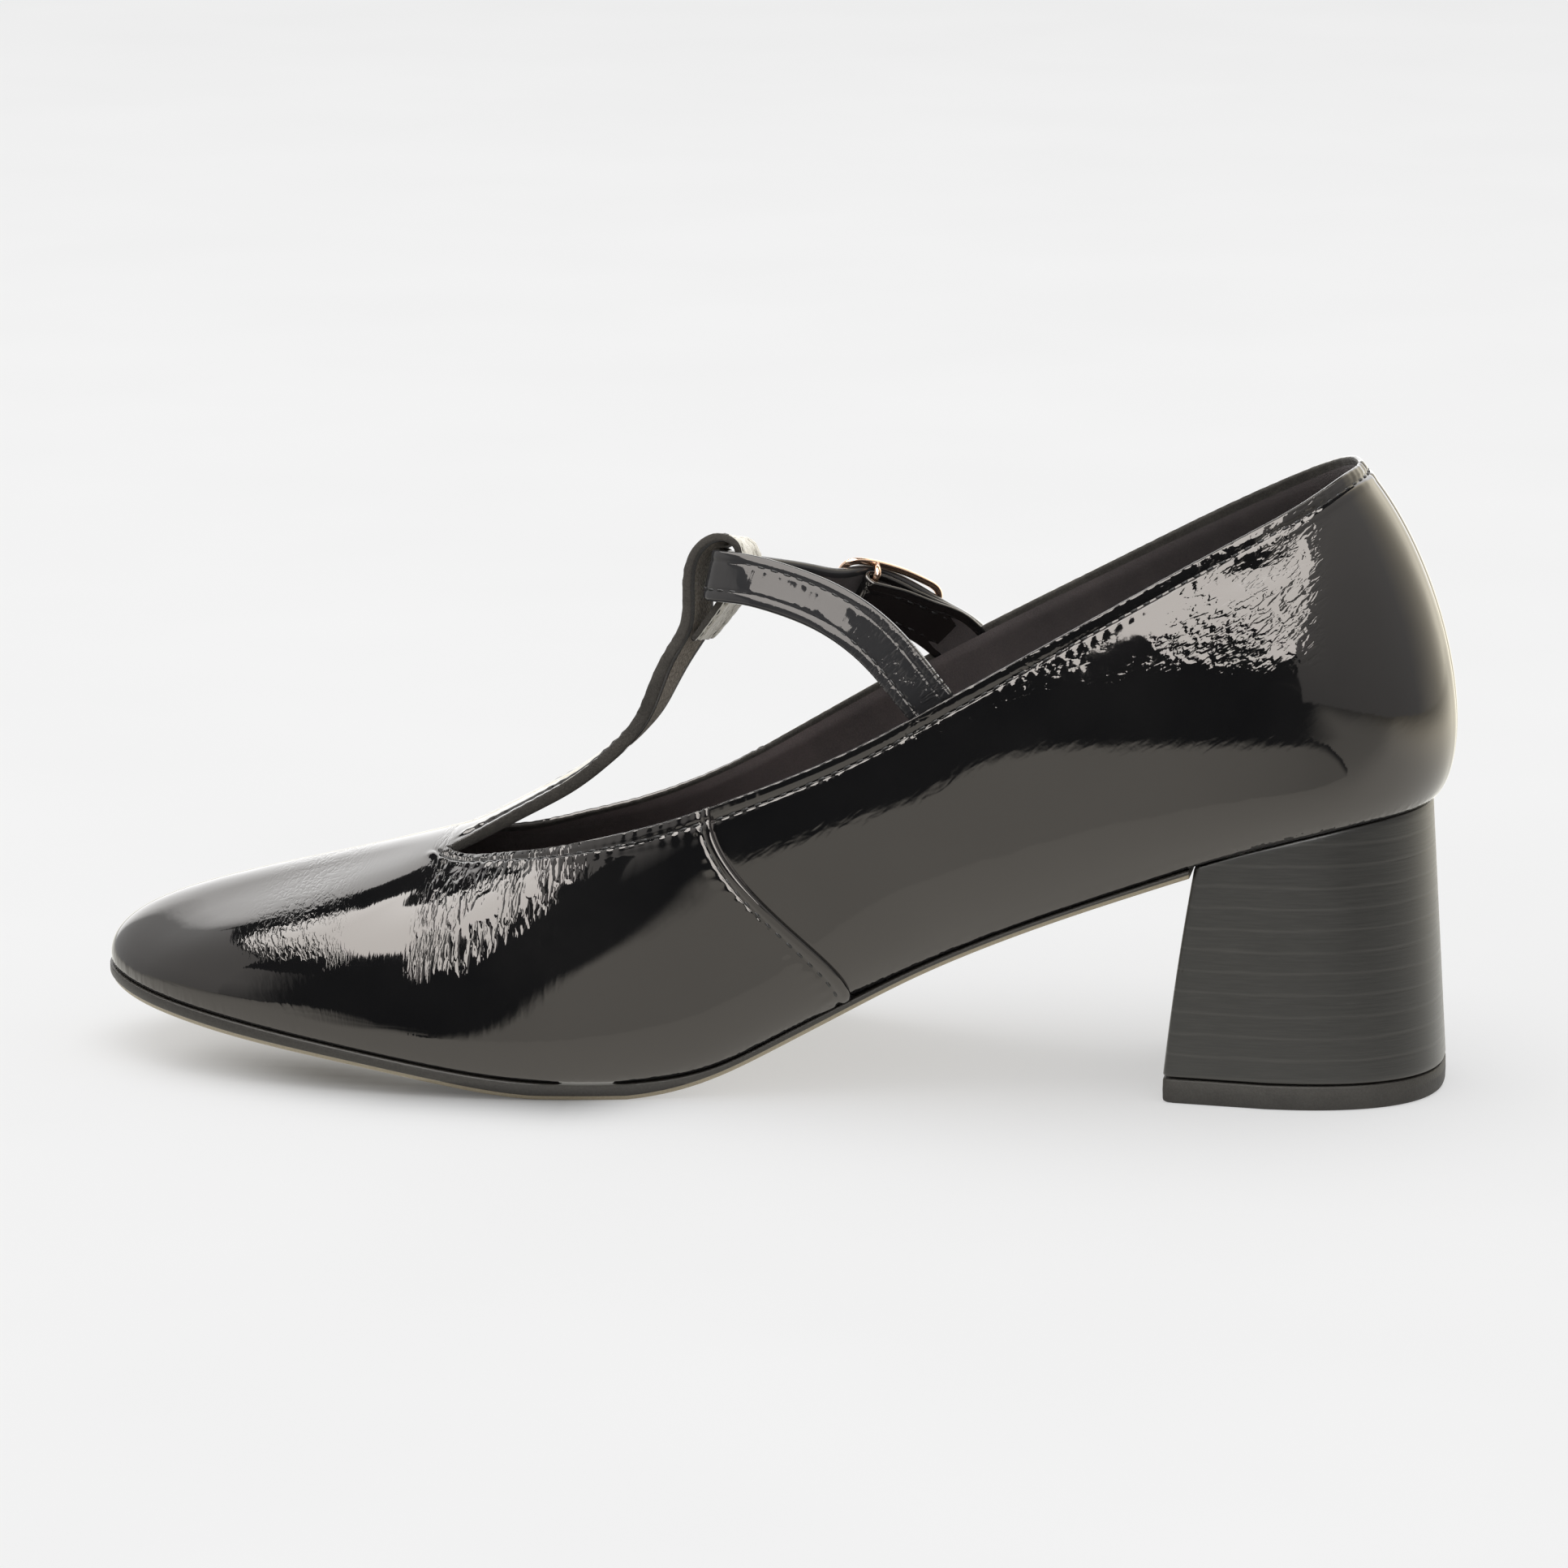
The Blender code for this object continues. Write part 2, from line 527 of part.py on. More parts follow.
def build_outsole(finish):
    """Sole from the heel's breast to the toe; its side has a step above the thin tread."""
    start = place_of_foot_x(SOLE_END, HEEL_SIDE_RIBS[0] + 1)
    end = place_of_foot_x(SOLE_END, HEEL_SIDE_RIBS[1] - 1)
    inner_ribs = between_ribs(HEEL_SIDE_RIBS[0] + 1, HEEL_SIDE_RIBS[1] - 1, SPAN_PARTS)
    places = np.concatenate([[start], inner_ribs, [end]])
    layers = (("top", 0.0, 0.1), ("top", -0.3, SOLE_LIP), ("tread", SOLE_TREAD, SOLE_LIP - 0.1),
              ("tread", SOLE_TREAD - 0.1, 0.0), ("tread", 0.25, -0.2), ("tread", 0.0, -0.8))
    rings = []
    for level, rise, lip in layers:
        ring = foot_ring(places, lip)
        top = feather_z(ring[:, 0]) - GAP
        ring[:, 2] = (top if level == "top" else tread_z(ring[:, 0])) + rise
        rings.append(ring)
    points, faces = stacked_rings(rings)
    return new_solid("outsole", points, faces, finish)


# ---------------------------------------------------------------- heel
HEEL_SIDE_PARTS = 3             # parts of the outline along each straight side
HEEL_BACK_PARTS = 8             # and round each half of the back
HEEL_SEAT_INSET = 0.25          # heel's top edge inside the feather line
HEEL_WAIST = 0.35               # hollow of the heel's sides and breast at half height
HEEL_LAYERS = (0, 0.02, 0.25, 0.5, 0.75, 0.98, 1)
TOP_PIECE_EDGE = 0.4            # rounding of its lower edge


def heel_floor_outline(inset=0.0):
    """D-shaped outline of the heel at the floor, from its medial to its lateral breast edge."""
    straight = np.linspace(0, 1, HEEL_SIDE_PARTS, endpoint=False)
    side_x = HEEL_FRONT_FLOOR + (HEEL_MIDDLE_X - HEEL_FRONT_FLOOR) * straight
    side_y = HEEL_HALF_FRONT + (HEEL_HALF_MIDDLE - HEEL_HALF_FRONT) * straight
    turn = np.linspace(0, np.pi / 2, HEEL_BACK_PARTS + 1)
    power = 2 / HEEL_BACK_POWER
    back_x = HEEL_MIDDLE_X + (HEEL_BACK_FLOOR - HEEL_MIDDLE_X) * np.sin(turn)**power
    back_y = HEEL_HALF_MIDDLE * np.clip(np.cos(turn), 0, None)**power
    x = np.concatenate([side_x, back_x])
    y = np.concatenate([side_y, back_y])
    scale_x = 1 - inset / ((HEEL_BACK_FLOOR - HEEL_FRONT_FLOOR) / 2)
    scale_y = 1 - inset / HEEL_HALF_MIDDLE
    middle = (HEEL_BACK_FLOOR + HEEL_FRONT_FLOOR) / 2
    x = middle + (x - middle) * scale_x
    y = y * scale_y
    medial = np.column_stack([x, HEEL_CENTRE_Y - y])
    lateral = np.column_stack([x, HEEL_CENTRE_Y + y])[:-1][::-1]
    return chamfered(np.vstack([medial, lateral]))


def chamfered(outline):
    """The outline with its first and last corner cut back from the flat breast."""
    inward = np.sign(outline[-1, 1] - outline[0, 1])
    first = outline[0] + (0, HEEL_CORNER * inward)
    last = outline[-1] - (0, HEEL_CORNER * inward)
    side_first = outline[0] + (HEEL_CORNER, 0)
    side_last = outline[-1] + (HEEL_CORNER, 0)
    return np.vstack([first, side_first, outline[1:-1], side_last, last])


def heel_seat_outline():
    """Outline of the heel under the upper: the feather line, a little inside it."""
    medial_side, lateral_side = HEEL_SIDE_RIBS
    medial_front = place_of_foot_x(HEEL_FRONT_TOP, medial_side + 1)
    lateral_front = place_of_foot_x(HEEL_FRONT_TOP, lateral_side - 1)
    places = np.concatenate([
        np.linspace(medial_front, KNOTS[medial_side], HEEL_SIDE_PARTS, endpoint=False),
        np.linspace(KNOTS[medial_side], 0, HEEL_BACK_PARTS + 1),
        np.linspace(RING, KNOTS[lateral_side], HEEL_BACK_PARTS + 1)[1:],
        np.linspace(KNOTS[lateral_side], lateral_front, HEEL_SIDE_PARTS + 1)[1:],
    ])
    return chamfered(foot_ring(places, -HEEL_SEAT_INSET)[:, :2])


def build_heel(finish):
    """Block heel: flat breast, round back, top cupped to the seat of the upper."""
    seat = heel_seat_outline()
    floor = heel_floor_outline()
    seat_z = feather_z(seat[:, 0]) - GAP
    floor_z = TOP_PIECE_THICK + GAP
    rings = []
    for t in HEEL_LAYERS:
        ring = floor + (seat - floor) * t
        hollow = HEEL_WAIST * 4 * t * (1 - t)
        ring[:, 1] = HEEL_CENTRE_Y + (ring[:, 1] - HEEL_CENTRE_Y) * (1 - hollow / HEEL_HALF_MIDDLE)
        ring[:, 0] = ring[:, 0] - hollow * (ring[:, 0] < HEEL_FRONT_TOP)
        rings.append(np.column_stack([ring, floor_z + (seat_z - floor_z) * t]))
    points, faces = stacked_rings(rings)
    return new_solid("heel_block", points, faces, finish)


def build_top_piece(finish):
    """Rubber top piece that the heel stands on."""
    layers = ((TOP_PIECE_EDGE, 0.0), (0.0, TOP_PIECE_EDGE), (0.0, TOP_PIECE_THICK))
    rings = []
    for inset, height in layers:
        outline = heel_floor_outline(inset)
        rings.append(np.column_stack([outline, np.full(len(outline), height)]))
    points, faces = stacked_rings(rings)
    return new_solid("heel_top_piece", points, faces, finish)


# ---------------------------------------------------------------- straps
STRAP_TABLE = np.array(STRAP_ROWS)
BUCKLE_AT = run_length(STRAP_TABLE[:, :3])[BUCKLE_ROW]
EDGE_BEVEL = 0.5                # width of the rounded edge of a strap
EDGE_KEEP = 0.5                 # share of the thickness left at the very edge
TAIL_ROUNDING = 0.85            # 1 would draw the free end to a point


def strap_frames(along):
    """Middle, direction, width direction and outward direction; along is 0 at the bar."""
    at = np.asarray(along, float) + BUCKLE_AT
    rows = along_rows(STRAP_ROWS, 3, at)
    run = unit((along_rows(STRAP_ROWS, 3, at + SMALL) - along_rows(STRAP_ROWS, 3, at - SMALL))[:, :3])
    width = np.column_stack([rows[:, 3], rows[:, 4], np.ones(len(rows))])
    width = unit(width - run * np.sum(run * width, axis=1, keepdims=True))
    return rows[:, :3], run, width, np.cross(width, run)


def off_strap(along, out, side):
    """Points beside the strap's line: distance along, outwards and across it."""
    middle, _, width, outward = strap_frames(along)
    return middle + outward * np.asarray(out)[:, None] + width * np.asarray(side)[:, None]


def strap_columns(half):
    """Places across a strap and the share of its thickness there."""
    side = np.array([-half, EDGE_BEVEL - half, -SLOT_HALF, SLOT_HALF, half - EDGE_BEVEL, half])
    share = np.array([EDGE_KEEP, 1, 1, 1, 1, EDGE_KEEP])
    return side, share


def strap_sheet(middles, normals, widths, half_widths, thick, slot):
    """A strap from its middle line; slot marks the stations whose middle cell is cut out."""
    side, share = strap_columns(STRAP_WIDTH / 2)
    half_widths = half_widths[:, None] / (STRAP_WIDTH / 2)
    base = middles[:, None] + widths[:, None] * (side[None, :] * half_widths)[:, :, None]
    lift = normals[:, None] * (share * thick / 2)[None, :, None]
    outer = (base + lift).reshape(-1, 3)
    inner = (base - lift).reshape(-1, 3)
    stations, columns = base.shape[:2]
    numbers = np.arange(stations * columns).reshape(stations, columns)
    quads = grid_quads(numbers).reshape(stations - 1, columns - 1, 4)
    keep = np.ones((stations - 1, columns - 1), bool)
    keep[slot, columns // 2 - 1] = False
    return thick_sheet(outer, inner, quads[keep])


def build_instep_strap(finish):
    """Strap from the medial quarter through the T-bar's loop and the buckle to its free end."""
    tip = STRAP_WIDTH / 2
    along = np.concatenate([
        np.arange(-BUCKLE_AT, -9, 2.6),
        [-7.5, -6, *PRONG_HOLE, -3, -1.6, 1.5, 4, 7, 10, 13, 16, 19],
        STRAP_TAIL - tip * np.cos(np.radians([90, 60, 40, 20])),
        [STRAP_TAIL],
    ])
    along = np.sort(along)
    centre = np.zeros(len(along))
    middles = off_strap(along, weave(STRAP_WEAVE, along)[:, 0], centre)
    ahead = off_strap(along + SMALL, weave(STRAP_WEAVE, along + SMALL)[:, 0], centre)
    run = unit(ahead - middles)
    width = strap_frames(along)[2]
    width = unit(width - run * np.sum(run * width, axis=1, keepdims=True))
    past = np.clip((along - STRAP_TAIL + tip) / tip, 0, 1)
    half = tip * np.sqrt(1 - TAIL_ROUNDING * past**2)
    slot = np.flatnonzero((along[:-1] >= PRONG_HOLE[0]) & (along[1:] <= PRONG_HOLE[1]))
    points, faces = strap_sheet(middles, np.cross(width, run), width, half, STRAP_THICK, slot)
    return new_solid("instep_strap", points, faces, finish)


def build_buckle_strap(finish):
    """Short strap folded round the buckle's bar, both legs running into the lateral quarter."""
    leg = np.array([BUCKLE_STRAP_END, 20, 16, 12, 8, 5, SLOT_LENGTH, 1.2])
    leg_out = weave(BUCKLE_LEG_WEAVE, leg)[:, 0]
    fold = np.radians(np.linspace(-90, 90, 9))
    radius = BUCKLE_LEG_WEAVE[0].out
    along = np.concatenate([leg, -radius * np.cos(fold), leg[::-1]])
    out = np.concatenate([-leg_out, radius * np.sin(fold), leg_out[::-1]])
    zero = np.zeros(len(along))
    middles = off_strap(along, out, zero)
    turn = unit(np.column_stack([-np.gradient(out), np.gradient(along)]))
    _, run, width, outward = strap_frames(along)
    normals = run * turn[:, :1] + outward * turn[:, 1:]
    half = zero + STRAP_WIDTH / 2
    slot = np.flatnonzero((along[:-1] <= SLOT_LENGTH) & (along[1:] <= SLOT_LENGTH))
    points, faces = strap_sheet(middles, normals, width, half, BUCKLE_STRAP_THICK, slot)
    return new_solid("buckle_strap", points, faces, finish)


# ---------------------------------------------------------------- buckle
def build_buckle_frame(finish):
    """Curved rectangular frame with a dropped bar for the folded strap and the prong."""
    half = np.array(FRAME_ROWS)
    mirrored = half[1:-1][::-1] * (1, 1, -1)
    loop = np.vstack([half, mirrored])
    knots = run_length(np.vstack([loop, loop[:1]]))
    count = 40
    path = smooth_curve(knots[:-1], loop, np.linspace(0, knots[-1], count, endpoint=False), knots[-1])
    points = off_strap(path[:, 0], path[:, 1], path[:, 2])
    run = unit(np.roll(points, -1, 0) - np.roll(points, 1, 0))
    _, _, _, outward = strap_frames(path[:, 0])
    through = unit(outward - run * np.sum(run * outward, axis=1, keepdims=True))
    frame_points, frame_faces = tube(points, np.cross(run, through), through, *FRAME_WIRE, True,
                                    SQUARED)
    frame = new_solid("buckle_frame", frame_points, frame_faces, finish, 50)

    rail = FRAME_ROWS[BAR_RAIL_ROW]
    corner = 0.8
    bar_side = rail.half - corner * np.array([0.0, 0.0, 0.25, 1.0])
    bar_out = np.array([rail.out, corner, 0.25 * corner, 0.0])
    bar_side = np.concatenate([bar_side, -bar_side[::-1]])
    bar_out = np.concatenate([bar_out, bar_out[::-1]])
    bar = off_strap(np.zeros(len(bar_side)), bar_out, bar_side)
    run = unit(np.gradient(bar, axis=0))
    _, forward, _, _ = strap_frames(np.zeros(len(bar_side)))
    bar_points, bar_faces = tube(bar, forward, np.cross(run, forward), 2 * BAR_RADIUS, 2 * BAR_RADIUS, False)
    staple = new_solid("buckle_bar_cutter", bar_points, bar_faces, finish)
    staple.hide_render = True
    staple.display_type = "WIRE"
    union = frame.modifiers.new("bar", "BOOLEAN")
    union.operation = "UNION"
    union.object = staple
    return frame


def build_buckle_prong(finish):
    """Prong curled round the bar, through the strap's hole, its tip over the frame's front."""
    radius = BAR_RADIUS + PRONG_CLEARANCE + PRONG_THICK / 2
    leave = np.radians(65)
    wrap = np.radians(265)
    curl = np.linspace(leave - wrap, leave, 15)
    along = radius * np.cos(curl)
    out = radius * np.sin(curl)
    straight = np.array([1.5, 3.0, 4.5, 6.0, 7.2])
    along = np.concatenate([along, along[-1] - np.sin(leave) * straight])
    out = np.concatenate([out, out[-1] + np.cos(leave) * straight])
    zero = np.zeros(len(along))
    points = off_strap(along, out, zero)
    _, _, width, _ = strap_frames(zero)
    run = unit(np.gradient(points, axis=0))
    width = unit(width - run * np.sum(run * width, axis=1, keepdims=True))
    prong_points, prong_faces = tube(points, width, np.cross(width, run), PRONG_WIDTH, PRONG_THICK,
                                    False, SQUARED)
    return new_solid("buckle_prong", prong_points, prong_faces, finish, 50)


# ---------------------------------------------------------------- the shoe
def build_shoe():
    for old in list(bpy.data.objects):
        bpy.data.objects.remove(old)
    patent = material("patent_leather", (0.012, 0.012, 0.013), 0.12)
    lining = material("lining", (0.045, 0.036, 0.033), 0.75)
    sole = material("sole_unit", (0.03, 0.027, 0.024), 0.5)
    stacked = material("stacked_heel", (0.05, 0.045, 0.04), 0.4)
    rubber = material("top_piece_rubber", (0.06, 0.054, 0.05), 0.6)
    gold = material("rose_gold", (0.8, 0.55, 0.4), 0.2, 1.0)
    build_upper(patent)
    build_insole(lining)
    build_outsole(sole)
    build_heel(stacked)
    build_top_piece(rubber)
    build_instep_strap(patent)
    build_buckle_strap(patent)
    build_buckle_frame(gold)
    build_buckle_prong(gold)


build_shoe()
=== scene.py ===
"""T-bar pump with a block heel, right foot, dressed over its CAD frame.

The shoe's tables are those of the part's source, in millimetres: +Z up, toe to -X, medial
side to -Y. Every surface is made from them at a fine step, with its folded edges, grooves,
stitches and creases, and Mesh.build() turns millimetres into the frame's metres.
"""

from types import SimpleNamespace

import bmesh
import bpy
import numpy as np
from mathutils import Matrix


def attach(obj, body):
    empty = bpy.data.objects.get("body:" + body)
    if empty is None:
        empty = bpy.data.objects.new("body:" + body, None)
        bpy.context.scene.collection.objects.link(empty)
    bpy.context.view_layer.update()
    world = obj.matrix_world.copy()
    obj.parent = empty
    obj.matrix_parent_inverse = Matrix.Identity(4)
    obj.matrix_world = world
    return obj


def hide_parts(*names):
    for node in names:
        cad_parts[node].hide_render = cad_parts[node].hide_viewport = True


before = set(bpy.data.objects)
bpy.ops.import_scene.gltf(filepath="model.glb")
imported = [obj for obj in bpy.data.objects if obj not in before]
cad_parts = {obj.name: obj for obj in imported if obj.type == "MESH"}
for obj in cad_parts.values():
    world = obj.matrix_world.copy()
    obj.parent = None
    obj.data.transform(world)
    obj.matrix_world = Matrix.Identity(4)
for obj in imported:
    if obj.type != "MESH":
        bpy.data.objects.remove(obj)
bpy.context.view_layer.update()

MM = 0.001
ORIGIN_SHIFT = (1.5, -1.4, 0.0)
UP = np.array([0.0, 0.0, 1.0])
SMALL = 0.2                     # step used to read a curve's direction

# ---------------------------------------------------------------- sizes, as in the part
GAP = 0.35
WALL = 1.8
SEAM_STEP = 0.9
SEAM_FADE = 9.0
SOLE_LIP = 0.45
SOLE_TREAD = 0.9
HEEL_FRONT_TOP = 76.9
HEEL_FRONT_FLOOR = 71.6
SOLE_END = HEEL_FRONT_TOP - 0.9
HEEL_BACK_FLOOR = 120.3
HEEL_CENTRE_Y = 0.5
HEEL_HALF_FRONT = 22.3
HEEL_HALF_MIDDLE = 24.1
HEEL_MIDDLE_X = 90.0
HEEL_BACK_POWER = 2.4
HEEL_CORNER = 1.2
HEEL_SEAT_INSET = 0.25
HEEL_WAIST = 0.35
TOP_PIECE_THICK = 4.5
TBAR_CROWN = 1.2
TBAR_FLARE = 2.0
TBAR_CROWN_FADE = 15.0
STRAP_WIDTH = 9.2
STRAP_THICK = 1.8
STRAP_TAIL = 26.0               # free end, from the buckle's bar
TAIL_ROUNDING = 0.85
BUCKLE_STRAP_THICK = 1.0
BUCKLE_STRAP_END = 22.5         # where the folded strap ends inside the quarter
BAR_RADIUS = 0.65
FRAME_WIRE = (1.3, 0.9)         # across and through the frame
PRONG_THICK = 0.8
PRONG_WIDTH = 1.6
PRONG_CLEARANCE = 0.25
PRONG_HOLE = (-4.4, -0.2)
INSOLE_THICK = 2.4
INSOLE_PLAY = 0.6
MEDIAL_SEAM = 7                 # ribs of the side seams, of the T-bar's edges
LATERAL_SEAM = 23
TBAR_RIBS = (13, 17)
HEEL_SIDE_RIBS = (3, 27)        # and of the heel's sides
BUCKLE_ROW = 12                 # row of the strap's line at the buckle's bar
BAR_RAIL_ROW = 4                # row of the frame where the bar leaves its long sides

# ---------------------------------------------------------------- tables
# Underside of the shoe: x, height of the feather line, where the upper ends on the sole,
# and height of the tread
SOLE_ROWS = np.array([
    (-126, 16.0, 13.1), (-118, 14.6, 11.4), (-108, 13.2, 9.9), (-98, 11.9, 8.5), (-84, 9.8, 6.5),
    (-70, 7.6, 4.4), (-56, 5.4, 2.1), (-46, 4.1, 0.6), (-38, 3.5, -0.1), (-24, 3.4, -0.1),
    (-16, 4.1, 1.0), (-7, 6.3, 3.8), (3, 11.2, 8.7), (14, 17.0, 14.6), (26, 23.2, 21.0),
    (40, 29.6, 27.5), (55, 35.6, 33.6), (68, 40.5, 38.5), (80, 44.9, 42.8), (94, 49.0, 46.9),
    (108, 51.9, 49.8), (122, 53.2, 51.1),
])

# Ribs of the last, clockwise from the middle of the heel: medial side, toe, lateral side.
# A rib leaves the feather line at (foot x, foot y) and ends on the topline at (rim x, y, z).
# It sets off outwards and upwards by the next two columns, and arrives from outside and
# from below by the last two.
RIBS = np.array([
    (117.5, 0.5, 103.0, 0.5, 112.9, 8.5, 7.7, 16.0, 16.6),     # middle of the heel
    (113.5, -12.0, 100.8, -8.8, 112.3, 7.5, 7.7, 16.0, 18.5),
    (104.0, -19.8, 94.0, -16.8, 108.2, 6.6, 7.0, 17.0, 23.0),
    (88.0, -23.0, 78.0, -22.0, 99.3, 6.2, 7.0, 15.0, 23.0),
    (68.0, -23.0, 56.5, -25.6, 87.0, 5.4, 8.2, 10.5, 18.5),
    (49.0, -23.0, 34.5, -28.0, 74.2, 5.6, 8.6, 7.5, 15.0),
    (32.0, -23.8, 13.0, -29.4, 62.3, 6.2, 8.5, 6.5, 13.5),
    (16.3, -26.0, -8.5, -29.0, 53.0, 7.2, 8.2, 6.5, 13.0),     # medial side seam
    (-5.0, -30.5, -19.5, -27.4, 48.9, 8.0, 8.0, 8.0, 12.5),
    (-30.0, -36.3, -30.0, -24.6, 45.5, 6.0, 8.0, 11.5, 12.0),
    (-55.0, -38.0, -40.5, -20.6, 42.4, 3.2, 7.2, 17.0, 11.0),
    (-80.0, -36.0, -49.0, -16.3, 40.3, 2.4, 7.2, 22.0, 10.5),
    (-100.0, -31.0, -55.8, -12.8, 39.0, 2.4, 7.6, 27.0, 10.0),
    (-114.0, -22.5, -59.6, -9.8, 39.4, 2.4, 9.2, 32.0, 9.8),   # medial edge of the T-bar
    (-121.9, -12.5, -60.0, -5.0, 40.2, 2.6, 11.2, 35.0, 9.6),
    (-123.7, -4.0, -60.0, 0.2, 40.5, 2.7, 12.2, 36.0, 9.6),    # tip of the toe
    (-121.5, 5.0, -60.0, 5.2, 40.2, 2.6, 11.2, 35.0, 9.6),
    (-112.0, 15.5, -59.6, 10.0, 39.3, 2.4, 9.2, 32.0, 9.8),    # lateral edge of the T-bar
    (-98.0, 25.0, -55.8, 13.1, 38.4, 2.4, 7.6, 27.0, 10.0),
    (-78.0, 33.0, -49.0, 17.2, 38.2, 2.4, 7.2, 22.0, 10.5),
    (-54.0, 39.0, -40.5, 21.6, 39.6, 2.6, 7.2, 17.0, 11.0),
    (-30.0, 40.8, -30.0, 25.3, 42.0, 4.4, 7.9, 12.0, 12.0),
    (-5.0, 37.0, -19.0, 27.6, 46.0, 5.6, 8.1, 8.5, 12.7),
    (16.3, 31.5, -8.0, 29.0, 51.4, 5.7, 8.3, 6.0, 13.5),       # lateral side seam
    (32.0, 28.5, 13.0, 29.6, 63.8, 5.6, 8.6, 5.5, 14.5),
    (49.0, 26.0, 34.5, 28.4, 76.3, 5.2, 8.8, 6.0, 16.0),
    (68.0, 25.0, 56.5, 26.3, 88.4, 5.0, 8.5, 8.5, 18.5),
    (88.0, 24.3, 78.0, 23.3, 100.2, 5.6, 7.4, 12.5, 23.0),
    (104.0, 21.0, 94.0, 18.2, 108.6, 6.4, 7.2, 15.0, 23.0),
    (113.5, 12.8, 100.8, 9.8, 112.3, 7.5, 7.7, 15.5, 18.5),
])

# The T-bar beyond the throat: middle of its outer face (x, y, z), width, thickness, and how
# its lateral edge swings to the rear (yaw) and drops (roll), in degrees. It climbs the
# instep, turns over the instep strap and comes back down behind it to its own underside.
TBAR_ROWS = np.array([
    (-60.0, 0.1, 40.5, 19.8, 1.8, 0, 0), (-57.4, 0.1, 41.5, 16.8, 1.9, 0, 0),
    (-53.0, 0.1, 43.7, 15.6, 2.0, 0, 0), (-45.4, 0.0, 47.8, 14.6, 2.2, 0, 0),
    (-39.1, -0.2, 51.4, 14.2, 2.3, 0, 0), (-32.8, -0.5, 56.0, 14.0, 2.3, 1, 1),
    (-28.5, -0.8, 60.0, 13.8, 2.3, 2, 2), (-25.2, -1.0, 64.2, 13.6, 2.3, 4, 3),
    (-23.0, -1.3, 68.6, 13.5, 2.3, 6, 5), (-20.8, -1.5, 72.9, 13.5, 2.1, 8, 8),
    (-18.5, -1.7, 76.6, 13.5, 1.9, 9, 10), (-16.7, -1.8, 79.9, 13.5, 1.8, 9, 12),
    (-16.1, -1.8, 83.5, 13.5, 1.6, 9, 13), (-16.0, -1.8, 87.5, 13.5, 1.5, 9, 14),
    (-15.3, -1.8, 91.5, 13.5, 1.4, 9, 14), (-13.2, -1.8, 94.9, 13.5, 1.3, 9, 14),
    (-9.9, -1.8, 96.5, 13.5, 1.3, 9, 14), (-7.0, -1.8, 95.5, 13.5, 1.2, 8, 14),
    (-5.7, -1.8, 92.5, 13.4, 1.2, 8, 14), (-6.4, -1.8, 88.8, 13.2, 1.2, 8, 14),
    (-8.7, -1.8, 84.6, 13.0, 1.1, 7, 14), (-11.6, -1.9, 80.6, 12.6, 1.0, 5, 15),
    (-14.1, -2.0, 77.4, 12.2, 0.9, 4, 15),
])

# Middle line of the instep strap (x, y, z), from inside the medial quarter through the
# T-bar's loop to the buckle and the lateral quarter, and how its width leans in x and y
STRAP_ROWS = np.array([
    (36.0, -25.0, 64.6, 0.70, 0.05), (29.0, -24.6, 72.6, 0.70, 0.15), (20.0, -21.6, 82.0, 0.60, 0.35),
    (10.5, -17.8, 87.4, 0.50, 0.45), (1.0, -14.4, 90.0, 0.42, 0.45), (-6.2, -12.8, 91.1, 0.35, 0.35),
    (-11.6, -9.7, 90.9, 0.30, 0.20), (-12.0, -4.0, 90.3, 0.28, 0.06), (-11.2, 1.6, 89.0, 0.30, -0.08),
    (-8.5, 7.0, 87.4, 0.36, -0.26), (-2.8, 12.3, 85.7, 0.42, -0.40), (4.0, 17.0, 83.8, 0.45, -0.42),
    (12.0, 21.0, 81.6, 0.50, -0.40), (20.5, 24.2, 77.4, 0.60, -0.30), (27.8, 25.2, 71.2, 0.70, -0.15),
    (33.8, 25.0, 64.2, 0.70, 0.00),
])

# Distance outwards from that line, against distance along it from the buckle's bar: the
# instep strap dips under the frame's front, rides over the bar and dips again
STRAP_WEAVE = np.array([
    (-200.0, 0.0), (-20.0, 0.0), (-12.0, 0.0), (-5.4, 0.5), (-2.6, 2.1), (0.0, 3.35), (4.0, 3.25),
    (9.0, 2.65), (13.6, 3.2), (18.0, 6.0), (22.0, 7.9), (25.0, 8.6), (28.0, 9.0),
])
BUCKLE_LEG_WEAVE = np.array([(0.0, 1.5), (2.0, 1.45), (7.0, 0.75), (14.0, 0.7), (30.0, 0.7)])

# Middle line of the buckle's frame, half of it from front to rear: distance along the
# strap, distance outwards and half width
FRAME_ROWS = np.array([
    (-5.3, 2.5, 0.0), (-5.3, 2.5, 4.0), (-4.5, 2.5, 5.2), (-3.0, 2.6, 5.8), (0.0, 2.9, 5.9),
    (5.0, 3.75, 5.9), (8.8, 4.5, 5.8), (11.0, 5.0, 5.3), (12.0, 5.15, 4.0), (12.0, 5.15, 0.0),
])


# ---------------------------------------------------------------- curves
def unit(vectors):
    return vectors / np.linalg.norm(vectors, axis=-1, keepdims=True)


def square_to(vectors, run):
    """The vectors made square to another direction, row by row."""
    return unit(vectors - run * np.sum(run * vectors, axis=1, keepdims=True))


def bump(x, centre, half):
    """Smooth hill of height 1: 0 beyond half on either side of centre."""
    return np.clip(1 - ((x - centre) / half)**2, 0, 1)**2


def ramp(x, start, end):
    """0 before start, 1 after end, smooth between."""
    t = np.clip((x - start) / (end - start), 0, 1)
    return t * t * (3 - 2 * t)


def even(start, end, step):
    return np.linspace(start, end, int(np.ceil((end - start) / step)) + 1)


